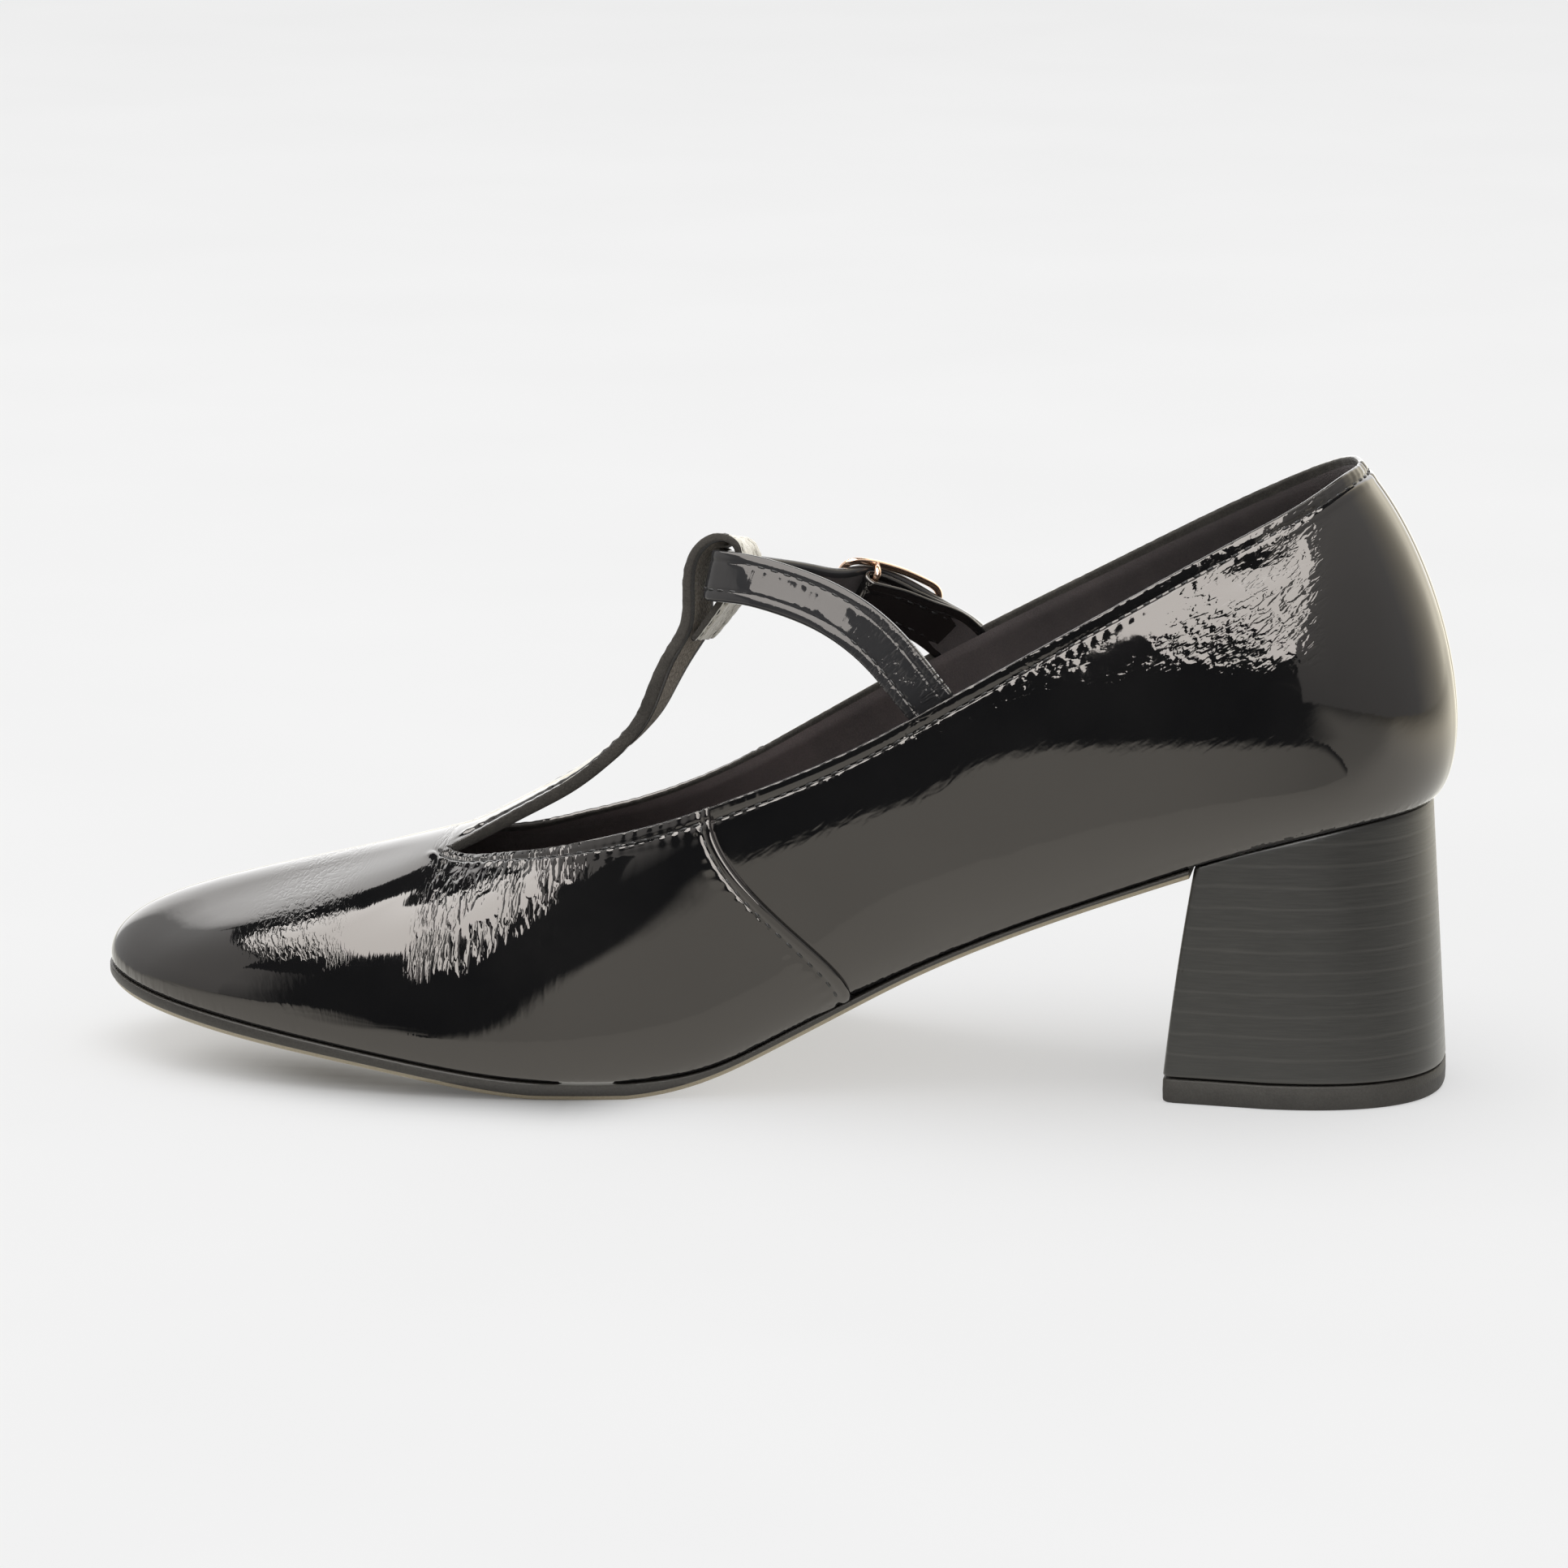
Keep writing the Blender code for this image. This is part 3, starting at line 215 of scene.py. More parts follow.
def wobble(x, seed, count=5, low=0.15, high=1.0):
    """Smooth wandering value between about -1 and 1 along x."""
    draw = np.random.default_rng(seed)
    total = np.zeros_like(x)
    for _ in range(count):
        total += np.sin(x * draw.uniform(low, high) + draw.uniform(0, 6.3))
    return total / np.sqrt(count)


def smooth_curve(knots, values, at, period=None):
    """Cubic curve of continuous curvature through rows of values, closed over a period."""
    knots = np.asarray(knots, float)
    values = np.asarray(values, float)
    at = np.asarray(at, float)
    if period:
        knots = np.append(knots, knots[0] + period)
        values = np.vstack([values, values[:1]])
        at = (at - knots[0]) % period + knots[0]
    count = len(knots)
    step = np.diff(knots)
    slope = np.diff(values, axis=0) / step[:, None]
    matrix = np.eye(count)
    right = np.zeros_like(values)
    for i in range(1, count - 1):
        matrix[i, i - 1:i + 2] = (step[i - 1], 2 * (step[i - 1] + step[i]), step[i])
        right[i] = 6 * (slope[i] - slope[i - 1])
    if period:
        matrix[0, 0] = 2 * (step[-1] + step[0])
        matrix[0, 1] = step[0]
        matrix[0, count - 2] = step[-1]
        right[0] = 6 * (slope[0] - slope[-1])
        matrix[-1, 0] = -1
    bend = np.linalg.solve(matrix, right)
    k = np.clip(np.searchsorted(knots, at, side="right") - 1, 0, count - 2)
    width = step[k][:, None]
    before = (at - knots[k])[:, None]
    after = width - before
    cubic = (bend[k] * after**3 + bend[k + 1] * before**3) / (6 * width)
    linear = ((values[k] / width - bend[k] * width / 6) * after
              + (values[k + 1] / width - bend[k + 1] * width / 6) * before)
    return cubic + linear


def run_length(points):
    """Distance along a line of points, starting at 0."""
    return np.append(0, np.cumsum(np.linalg.norm(np.diff(points, axis=0), axis=1)))


def along_rows(rows, at):
    """Rows read as a smooth curve through their x, y, z, at distances along it."""
    return smooth_curve(run_length(rows[:, :3]), rows, at)


def direction(rows, at):
    return unit((along_rows(rows, at + SMALL) - along_rows(rows, at - SMALL))[:, :3])


def weave(rows, at):
    return smooth_curve(rows[:, 0], rows[:, 1:], at)[:, 0]


def feather_z(x):
    return smooth_curve(SOLE_ROWS[:, 0], SOLE_ROWS[:, 1:2], x)[:, 0]


def tread_z(x):
    """Underside of the sole, flat on the floor under the ball of the foot."""
    return np.maximum(smooth_curve(SOLE_ROWS[:, 0], SOLE_ROWS[:, 2:3], x)[:, 0], 0.0)


# ---------------------------------------------------------------- the last
def rib_knots():
    """Place of every rib on the ring round the shoe, and the ring's length."""
    foot_steps = np.linalg.norm(np.roll(RIBS[:, :2], -1, 0) - RIBS[:, :2], axis=1)
    rim_steps = np.linalg.norm(np.roll(RIBS[:, 2:5], -1, 0) - RIBS[:, 2:5], axis=1)
    places = np.append(0, np.cumsum((foot_steps + rim_steps) / 2))
    return places[:-1], places[-1]


KNOTS, RING = rib_knots()


def ribs_at(places):
    return smooth_curve(KNOTS, RIBS, places, RING)


def plan_outward(places, column):
    """Outward direction in plan of the foot ring (column 0) or of the topline (column 2)."""
    run = (ribs_at(places + SMALL) - ribs_at(places - SMALL))[:, column:column + 2]
    return unit(np.column_stack([-run[:, 1], run[:, 0], np.zeros(len(run))]))


def foot_ring(places, offset=0.0):
    """The feather line, moved outwards in plan."""
    rows = ribs_at(places)
    ring = np.column_stack([rows[:, 0], rows[:, 1], feather_z(rows[:, 0])])
    return ring + plan_outward(places, 0) * offset


def last_surface(places, heights):
    """Outer face of the upper: a grid with a row for each height, 0 feather line, 1 topline."""
    rows = ribs_at(places)
    foot = foot_ring(places)
    rim = rows[:, 2:5]
    leave = foot + plan_outward(places, 0) * rows[:, 5:6] + UP * rows[:, 6:7]
    arrive = rim + plan_outward(places, 2) * rows[:, 7:8] - UP * rows[:, 8:9]
    t = heights[:, :, None] if heights.ndim == 2 else heights[:, None, None]
    return ((1 - t)**3 * foot + 3 * (1 - t)**2 * t * leave
            + 3 * (1 - t) * t**2 * arrive + t**3 * rim)


def place_of_foot_x(x, rib):
    """Place on the ring near a rib where the feather line crosses x."""
    places = KNOTS[rib] + np.arange(-40, 40, 0.1)
    return places[np.argmin(np.abs(ribs_at(places)[:, 0] - x))]


# ---------------------------------------------------------------- meshes
def grid_quads(numbers, closed=False):
    if closed:
        numbers = np.column_stack([numbers, numbers[:, 0]])
    low = numbers[:-1]
    high = numbers[1:]
    return np.stack([low[:, :-1], high[:, :-1], high[:, 1:], low[:, 1:]], axis=-1).reshape(-1, 4)


def write_values(mesh, label, values):
    layer = mesh.attributes.new(label, "FLOAT_VECTOR", "POINT")
    layer.data.foreach_set("vector", np.asarray(values, np.float32).ravel())


class Mesh:
    """Points in millimetres, faces, and values that the materials read at each point."""

    def __init__(self):
        self.points = []
        self.skins = []
        self.looks = []
        self.faces = []
        self.finishes = []
        self.count = 0

    def add(self, points, skin=None, look=None):
        """Adds a grid of points and returns their numbers."""
        shape = points.shape[:-1]
        flat = points.reshape(-1, 3)
        self.points.append(flat)
        for store, values in ((self.skins, skin), (self.looks, look)):
            if values is None:
                values = np.zeros(shape + (3,))
            store.append(np.broadcast_to(values, shape + (3,)).reshape(-1, 3))
        numbers = self.count + np.arange(len(flat)).reshape(shape)
        self.count += len(flat)
        return numbers

    def quads(self, numbers, closed=False, finish=0):
        self.faces.append(grid_quads(numbers, closed))
        self.finishes.append(finish)

    def polygon(self, numbers, finish=0):
        self.faces.append([tuple(numbers)])
        self.finishes.append(finish)

    def build(self, name, finish, replaces=(), sharp=None):
        """The piece in the scene; finish is one material or one for each number in finishes."""
        points = (np.vstack(self.points) + ORIGIN_SHIFT) * MM
        faces = []
        shares = []
        for part, number in zip(self.faces, self.finishes):
            for face in np.asarray(part).tolist():
                corners = tuple(dict.fromkeys(face))
                if len(corners) > 2:
                    faces.append(corners)
                    shares.append(number)
        mesh = bpy.data.meshes.new(name)
        mesh.from_pydata(points.tolist(), [], faces)
        work = bmesh.new()
        work.from_mesh(mesh)
        bmesh.ops.recalc_face_normals(work, faces=work.faces)
        work.to_mesh(mesh)
        work.free()
        write_values(mesh, "skin", np.vstack(self.skins))
        write_values(mesh, "look", np.vstack(self.looks))
        mesh.shade_smooth()
        if sharp:
            mesh.set_sharp_from_angle(angle=np.radians(sharp))
        for each in finish if isinstance(finish, tuple) else (finish,):
            mesh.materials.append(each)
        mesh.polygons.foreach_set("material_index", shares)
        piece = bpy.data.objects.new(name, mesh)
        bpy.context.collection.objects.link(piece)
        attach(piece, "root")
        if replaces:
            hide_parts(*replaces)
        return piece


def normals_of(points):
    """Outward direction of a grid whose rows go down and whose columns go clockwise."""
    return unit(np.cross(np.gradient(points, axis=1), np.gradient(points, axis=0)))


def roll(outer, inner, outward, reach, steps):
    """Rounded edge between the two faces of a sheet: a row of points for each step."""
    middle = (outer + inner) / 2
    half = (outer - inner) / 2
    turn = np.linspace(0, np.pi, steps + 2)[1:]
    return np.stack([middle + half * np.cos(a) + outward * reach * np.sin(a) for a in turn])


# ---------------------------------------------------------------- leather surfaces
EDGE = 0.6                      # the surface stops this far before the rim and rolls over
EDGE_REACH = 0.8                # reach of the roll, as a share of EDGE
BAR_EDGE_REACH = 0.35           # and on the sides of the T-bar
ROLL_STEPS = 6
FOLD = 2.5                      # stitch row below the rim
STITCH_PITCH = 2.5
RIM_ROWS = np.arange(EDGE, 5.01, 0.25)
STITCH_ROW = int(np.argmin(np.abs(RIM_ROWS - FOLD)))
BODY_STEP = 0.75                # rows below the rim's fine ones
COLUMN_STEP = 0.46
BAR_COLUMN_STEP = 0.7
FINE_HEIGHTS = np.linspace(1, 0, 400)
TURN_IN = 2.6                   # folded leather seen on the inside
TURNED = (0.2, 0.5, 1.0)        # its rows, as shares
EDGE_THICK = 1.1
GLOSSY_ROWS = 4                 # of the rim's roll; the rest is the matte back of the leather
UNDER_TURN = 2.2                # the lasted edge runs on under the foot
UNDER_DROP = 0.05
PUCKER_HEIGHT = (0.5, 3.5)      # the lasting puckers fade out between these heights


def down_lengths(grid):
    """Distance down each column of a grid of points."""
    steps = np.linalg.norm(np.diff(grid, axis=0), axis=2)
    return np.vstack([np.zeros(grid.shape[1]), np.cumsum(steps, axis=0)])


def shell_grid(places):
    """Points down from the rim for each place, with distances from rim and feather line."""
    down = down_lengths(last_surface(places, FINE_HEIGHTS))
    total = down[-1]
    count = int(np.ceil((total.max() - RIM_ROWS[-1]) / BODY_STEP))
    rest = np.linspace(0, 1, count + 1)[1:]
    wanted = np.vstack([
        np.tile(RIM_ROWS[:, None], len(places)),
        RIM_ROWS[-1] + (total - RIM_ROWS[-1]) * rest[:, None],
    ])
    heights = [np.interp(wanted[:, i], down[:, i], FINE_HEIGHTS) for i in range(len(places))]
    return last_surface(places, np.stack(heights, 1)), wanted, total[None] - wanted


def add_shell(mesh, outer, places, skin, look):
    """Adds the outer face and the edge that is lasted under the foot; returns its numbers."""
    numbers = mesh.add(outer, skin, look)
    mesh.quads(numbers)
    foot = outer[-1] - plan_outward(places, 0) * UNDER_TURN - UP * UNDER_DROP
    under = mesh.add(foot[None], skin[-1:], look[-1:])
    mesh.quads(np.vstack([numbers[-1:], under]))
    return numbers


def seam_base(places):
    """How far the vamp stands above the last at the seams, fading to the rest."""
    lift = np.zeros_like(places)
    for rib, forward in ((MEDIAL_SEAM, 1), (LATERAL_SEAM, -1)):
        ahead = (places - KNOTS[rib]) * forward
        lift += np.where(ahead >= -0.01, 1, -1) * np.exp(-np.abs(ahead) / SEAM_FADE)
    return lift * SEAM_STEP / 2


def stitch_pull(run):
    """Pull of the thread along a stitch row: 1 at each stitch, 0 between two."""
    return 0.5 + 0.5 * np.cos(2 * np.pi * run / STITCH_PITCH)


def fold_relief(d, run, thick=0.1, pulled=0.2):
    """Folded edge, thick at the rim and pressed in at the stitches, with puckers below them."""
    fold = thick * np.clip(FOLD - d, 0, None) / FOLD - 0.3 * bump(d, FOLD, 0.9) + 0.12 * bump(d, 3.6, 1.3)
    uneven = 0.7 + 0.6 * wobble(run, 3, 4, 0.1, 0.6)
    below = ramp(d, FOLD, FOLD + 0.6) * (1 - ramp(d, FOLD + 0.9, FOLD + 3.2))
    pucker = pulled * stitch_pull(run) * uneven * below
    crush = 0.05 * wobble(run, 5, 6, 0.8, 4.0) * (1 - ramp(d, FOLD - 0.6, FOLD + 0.2))
    return fold + pucker + crush


def turned_rows(outer, normals, outward):
    """Folded leather inside the rim, from its edge to where the lining starts."""
    depth = [EDGE_THICK + (WALL - EDGE_THICK) * t for t in TURNED]
    return np.stack([outer - normals * d - outward * TURN_IN * t for d, t in zip(depth, TURNED)])


# Main creases: a line on the leather, half width and depth; negative is a trough
CREASES = [
    (((82, -22.9, 100.0), (88, -21.9, 102.8), (94, -20.2, 105.4)), 1.7, 0.5),
    (((80, -24.7, 94.8), (88, -23.7, 97.6), (96, -21.6, 100.6)), 2.3, -1.15),
    (((91.5, -25.0, 85.0), (92.5, -24.0, 92.0), (93.5, -22.0, 98.0), (94.5, -20.0, 103.0)), 3.4, -0.35),
    (((86, -29.5, 75.5), (91, -28.5, 81.5), (97, -26.5, 86.5)), 3.6, 0.2),
    (((78, -30.0, 74.0), (83, -29.0, 80.0), (89, -27.0, 86.0)), 3.6, -0.2),
    (((67, -30.0, 74.0), (72, -29.5, 79.0), (78, -28.0, 84.0)), 3.6, 0.2),
    (((59, -30.5, 72.0), (64, -30.0, 77.5), (70, -28.5, 83.0)), 3.6, -0.2),
    (((47, -31.0, 69.5), (52, -30.5, 75.0), (58, -29.0, 80.0)), 3.4, 0.16),
    (((38, -31.0, 66.0), (43, -30.5, 71.0), (49, -29.0, 76.0)), 3.4, -0.16),
    (((-63, -38.0, 13.5), (-62.5, -37.0, 18.0), (-62, -35.5, 22.5)), 1.6, -0.1),
    (((-67, -37.5, 13.0), (-66.5, -36.5, 17.0), (-66, -35.5, 20.5)), 1.3, -0.06),
    (((-88, -34.0, 14.0), (-78, -36.5, 13.5), (-68, -38.0, 13.5)), 2.6, -0.1),
    (((-44, -34.0, 28.0), (-41, -30.0, 34.0), (-39, -25.0, 39.0)), 2.4, -0.07),
    (((-52, -35.5, 25.0), (-50, -31.0, 32.0), (-48, -25.0, 37.5)), 2.6, 0.07),
]


def crease_relief(points):
    """Soft troughs and ridges that fade out at both ends of their lines."""
    relief = np.zeros(points.shape[:2])
    flat = points.reshape(-1, 3)
    for line, half, depth in CREASES:
        line = np.array(line, float)
        knots = run_length(line)
        path = smooth_curve(knots, line, even(0, knots[-1], 1.0))
        near = np.full(len(flat), 1e9)
        share = np.zeros(len(flat))
        total = run_length(path)[-1]
        done = 0.0
        for a, b in zip(path[:-1], path[1:]):
            run = b - a
            t = np.clip((flat - a) @ run / (run @ run), 0, 1)
            gap = np.linalg.norm(flat - a - t[:, None] * run, axis=1)
            length = np.linalg.norm(run)
            closer = gap < near
            near = np.where(closer, gap, near)
            share = np.where(closer, (done + t * length) / total, share)
            done += length
        fade = np.sin(np.pi * np.clip(share, 0, 1))**0.6
        relief += (depth * fade * np.exp(-(near / half)**2)).reshape(relief.shape)
    return relief


# ---------------------------------------------------------------- vamp and T-bar
# Height of the lower edge of the vamp's wrinkles, along x
WRINKLE_EDGE = ((-95, -66, -60, -52, -46.7, -40.5, -36.2, -31.9, -27),
                (23.5, 22.8, 22, 23.6, 28, 32, 36, 39.5, 43))


def vamp_look(base, h):
    """Wrinkles, crinkle and lasting puckers of the vamp as shares of their full depth."""
    x = base[..., 0]
    flex = ramp(x, -64, -59) * (1 - ramp(x, -37, -27))
    forepart = 0.35 * bump(x, -84, 13)
    edge = np.interp(x, *WRINKLE_EDGE)
    wrinkles = (flex + forepart) * ramp(base[..., 2], edge - 2.5, edge + 0.8)
    crinkle = 0.08 + 0.2 * bump(x, -84, 12) + 0.25 * flex
    return np.stack([wrinkles, crinkle, 1 - ramp(h, *PUCKER_HEIGHT)], -1)


def vamp_skin(base):
    """Wrinkle cells of the vamp: narrow from toe to heel and long down the sides."""
    x, y, z = np.moveaxis(base, -1, 0)
    rear = ramp(x, -80, -55)
    length = 2.4 + 3.8 * rear
    lean = 0.35 * (z - 30)
    return np.stack([(x + lean * (1 - rear)) / (1.1 + 0.55 * rear), y / length, z / length], -1)


def tbar_shape(rim):
    """Faces of the T-bar beyond the throat, with a column for each point of the vamp's rim."""
    reach = run_length(TBAR_ROWS[:, :3])[-1]
    at = np.concatenate([[0.3, 0.6, 1.0, 1.5, 2.0], np.arange(2.6, reach, 0.6), [reach]])
    rows = along_rows(TBAR_ROWS, at)
    run = direction(TBAR_ROWS, at)
    yaw = np.radians(rows[:, 5])
    tilt = np.radians(rows[:, 6])
    across = square_to(np.column_stack([np.sin(yaw), np.cos(yaw), -np.tan(tilt)]), run)
    out = np.cross(run, across)
    inside = np.clip(TBAR_FLARE - at, 0, None)
    flare = TBAR_FLARE - np.sqrt(TBAR_FLARE**2 - inside**2)
    half = rows[:, 3] / 2 + flare - EDGE
    crown = TBAR_CROWN * np.exp(-at / TBAR_CROWN_FADE)
    share = np.linspace(-1, 1, len(rim))
    v = share[None, :, None]
    face = (rows[:, None, :3] + across[:, None] * half[:, None, None] * v
            - out[:, None] * crown[:, None, None] * v**2)
    normals = normals_of(np.concatenate([rim[None], face])[::-1])[::-1][1:]
    d = half[:, None] * (1 - np.abs(share))[None] + EDGE
    lift = fold_relief(d, at[:, None] + 0 * d) * ramp(at, 0.0, 3.0)[:, None]
    return SimpleNamespace(
        at=at, half=half, share=share, face=face, normals=normals,
        outer=face + normals * lift[:, :, None],
        inner=face - normals * rows[:, 4][:, None, None],
        turned_back=int(np.argmax(rows[:, 2])) + 2,
    )


def vamp_relief(places, base, d, h):
    """Height of the vamp over the last: seams, folded rim and creases."""
    start, bar_start, bar_end, end = KNOTS[[MEDIAL_SEAM, *TBAR_RIBS, LATERAL_SEAM]]
    ahead = np.minimum(places - start, end - places)[None] + 0 * d
    lift = seam_base(places)[None] + 0 * d
    lift -= 0.55 * (1 - np.sqrt(1 - np.clip(1 - ahead / 0.55, 0, 1)**2))
    lift += 0.16 * bump(ahead, 1.1, 1.0) - 0.28 * bump(ahead, 2.1, 0.6)
    lift += 0.1 * stitch_pull(h) * ramp(ahead, 2.2, 2.8) * (1 - ramp(ahead, 3, 5.5))
    on_bar = ramp(places, bar_start - 1.5, bar_start + 2.5) * (1 - ramp(places, bar_end - 2.5, bar_end + 1.5))
    run = run_length(base[0])[None] + 0 * d
    lift += fold_relief(d, run) * (1 - on_bar[None])
    return lift + crease_relief(base)


def fold_edge(mesh, rim, side, way):
    """Folds the rim and the T-bar's side that follow on each other.

    Both hold outer points, points under them, their numbers and their normals.
    """
    order = (rim, side) if way > 0 else ([part[::-1] for part in side], rim)
    line, below, own, facing = (np.concatenate(pair) for pair in zip(*order))
    split = len(order[0][0])
    on_rim = (np.arange(len(line)) < split) == (way > 0)
    outward = unit(np.cross(unit(np.gradient(line, axis=0)), facing))
    if outward[0 if way > 0 else -1][2] < 0:
        outward = -outward
    reach = np.where(on_rim, EDGE * EDGE_REACH, EDGE * BAR_EDGE_REACH)[:, None]
    rows = roll(line, below, outward * reach, 1.0, ROLL_STEPS)
    turned = np.stack([below - outward * TURN_IN * t for t in TURNED])
    turned[:, on_rim] = turned_rows(line, facing, outward)[:, on_rim]
    strip = np.vstack([own[None], mesh.add(np.concatenate([rows, turned]))])
    for part, glossy in ((slice(0, split + 1), way > 0), (slice(split, None), way < 0)):
        last = GLOSSY_ROWS if glossy else 1
        mesh.quads(strip[:last + 1, part])
        mesh.quads(strip[last:, part], finish=1)


def build_vamp(finish):
    """Vamp from side seam to side seam with the T-bar cut in one piece with it."""
    start, bar_start, bar_end, end = KNOTS[[MEDIAL_SEAM, *TBAR_RIBS, LATERAL_SEAM]]
    edge = np.array([0, 0.12, 0.3, 0.55, 0.9, 1.3, 1.75, 2.1, 2.45, 2.9])
    places = np.concatenate([
        start + edge, even(start + 3.4, bar_start, COLUMN_STEP)[:-1],
        even(bar_start, bar_end, BAR_COLUMN_STEP),
        even(bar_end, end - 3.4, COLUMN_STEP)[1:], end - edge[::-1],
    ])
    base, d, h = shell_grid(places)
    normals = normals_of(base)
    outer = base + normals * vamp_relief(places, base, d, h)[:, :, None]
    mesh = Mesh()
    skin = vamp_skin(base)
    numbers = add_shell(mesh, outer, places, skin, vamp_look(base, h))
    for column, side in ((0, -1), (len(places) - 1, 1)):
        wall = mesh.add((outer[:, column] - normals[:, column] * 0.6)[:, None], skin[:, column][:, None])
        pair = np.column_stack([numbers[:, column], wall[:, 0]])
        mesh.quads(pair if side > 0 else pair[:, ::-1])

    columns = np.flatnonzero((places > bar_start - 0.01) & (places < bar_end + 0.01))
    bar = tbar_shape(outer[0, columns])
    bar_numbers = mesh.add(bar.outer, vamp_skin(bar.face), np.array([0, 0.5, 0]))
    mesh.quads(np.vstack([numbers[:1, columns], bar_numbers[:bar.turned_back]])[::-1])
    mesh.quads(bar_numbers[bar.turned_back - 1:][::-1], finish=2)
    first, last = columns[0], columns[-1]
    for rim, side, way in ((np.arange(0, first + 1), 0, 1), (np.arange(last, len(places)), -1, -1)):
        rim_outer = outer[0, rim]
        rim_parts = (rim_outer, rim_outer - normals[0, rim] * EDGE_THICK, numbers[0, rim], normals[0, rim])
        bar_parts = (bar.outer[:, side], bar.inner[:, side], bar_numbers[:, side], bar.normals[:, side])
        fold_edge(mesh, rim_parts, bar_parts, way)
    end_rows = mesh.add(roll(bar.outer[-1], bar.inner[-1], unit(bar.face[-1] - bar.face[-2]), 0.3, 4))
    mesh.quads(np.vstack([bar_numbers[-1:], end_rows]), finish=1)
    mesh.build("vamp", finish, ("upper",))

    rows = [(outer[STITCH_ROW, part], normals[STITCH_ROW, part])
            for part in (slice(6, first - 1), slice(last + 2, len(places) - 6))]
    keep = bar.at > 2.5
    facing = bar.normals[:, len(bar.share) // 2]
    for side in (1, -1):
        across = side * (1 - (FOLD - EDGE) / bar.half)
        line = np.array([[np.interp(v, bar.share, row[:, k]) for k in range(3)]
                         for v, row in zip(across, bar.outer)])
        rows.append((line[keep], facing[keep]))
    for column in (7, len(places) - 8):
        rows.append((outer[8:-4, column], normals[8:-4, column]))
    return rows, bar


# ---------------------------------------------------------------- quarters
# Height of the crinkle's lower edge, and of the finer crinkle below it, along x
CRINKLE_EDGE = ((20, 31, 40, 50, 62, 75, 96), (62, 68, 73, 77, 79, 81, 83))
FLOOR_EDGE = ((0, 30, 45, 55, 75, 96), (46, 57, 64, 67, 68, 70))
SLANT = np.radians(38)          # of the quarters' wavelets


def quarter_look(base, d, h):
    """Wavelets, crinkle and lasting puckers of the quarters as shares of their full depth."""
    x, _, z = np.moveaxis(base, -1, 0)
    smooth_zone = bump(x, 66, 20) * (1 - ramp(d, 9, 14)) + bump(x, 38, 16) * (1 - ramp(d, 4, 6))
    edge = np.interp(x, *CRINKLE_EDGE)
    crinkled = ramp(x, 18, 32) * (1 - ramp(x, 94, 101)) * ramp(z, edge - 3, edge + 2)
    fringe = 0.45 * bump(z, np.interp(x, *FLOOR_EDGE), 7) * (1 - ramp(x, 94, 101))
    fine = 0.06 + 0.7 * crinkled * (1 - 0.8 * smooth_zone) + fringe
    return np.stack([0.8 * crinkled * (1 - smooth_zone), fine, 1 - ramp(h, *PUCKER_HEIGHT)], -1)


def quarter_skin(base):
    """Wavelet cells of the quarters, slanting up to the rear."""
    x, y, z = np.moveaxis(base, -1, 0)
    across = z * np.cos(SLANT) - x * np.sin(SLANT)
    along = x * np.cos(SLANT) + z * np.sin(SLANT)
    return np.stack([across / 1.25, along / 3.6, y / 3.6], -1)


def build_quarters(finish):
    """Both quarters, joined by a closed seam down the middle of the heel."""
    start = KNOTS[LATERAL_SEAM] - RING
    end = KNOTS[MEDIAL_SEAM]
    under_vamp = 3.0
    back = np.array([-1.4, -0.9, -0.5, -0.25, 0.0, 0.25, 0.5, 0.9, 1.4])
    places = np.concatenate([
        even(start - under_vamp, -2.0, COLUMN_STEP), back, even(2.0, end + under_vamp, COLUMN_STEP),
    ])
    base, d, h = shell_grid(places)
    normals = normals_of(base)
    run = run_length(base[0])[None] + 0 * d
    inside = np.clip(np.minimum(places - start, end - places), None, 0)
    lift = np.where(inside < 0, -SEAM_STEP / 2 - 0.08, seam_base(places % RING))[None] + 0 * d
    middle = 1 - ramp(base[..., 0], 92, 104)
    lift += fold_relief(d, run, 0.15 + 0.9 * middle, 0.03 + 0.07 * middle) - 0.22 * bump(places, 0, 0.8)[None]
    lift += 0.08 * bump(np.abs(places), 1.6, 1.4)[None]
    lift += crease_relief(base)
    outer = base + normals * lift[:, :, None]
    mesh = Mesh()
    numbers = add_shell(mesh, outer, places, quarter_skin(base), quarter_look(base, d, h))
    outward = np.cross(unit(np.gradient(outer[0], axis=0)), normals[0])
    outward *= np.sign(outward[:, 2:3])
    thin = outer[0] - normals[0] * EDGE_THICK
    rolled = mesh.add(np.concatenate([
        roll(outer[0], thin, outward, EDGE * EDGE_REACH, ROLL_STEPS),
        turned_rows(outer[0], normals[0], outward),
    ]))
    mesh.quads(np.vstack([numbers[:1], rolled[:GLOSSY_ROWS]]))
    mesh.quads(rolled[GLOSSY_ROWS - 1:], finish=1)
    mesh.build("quarters", finish)
    shown = inside == 0
    return [(outer[STITCH_ROW, shown], normals[STITCH_ROW, shown])]


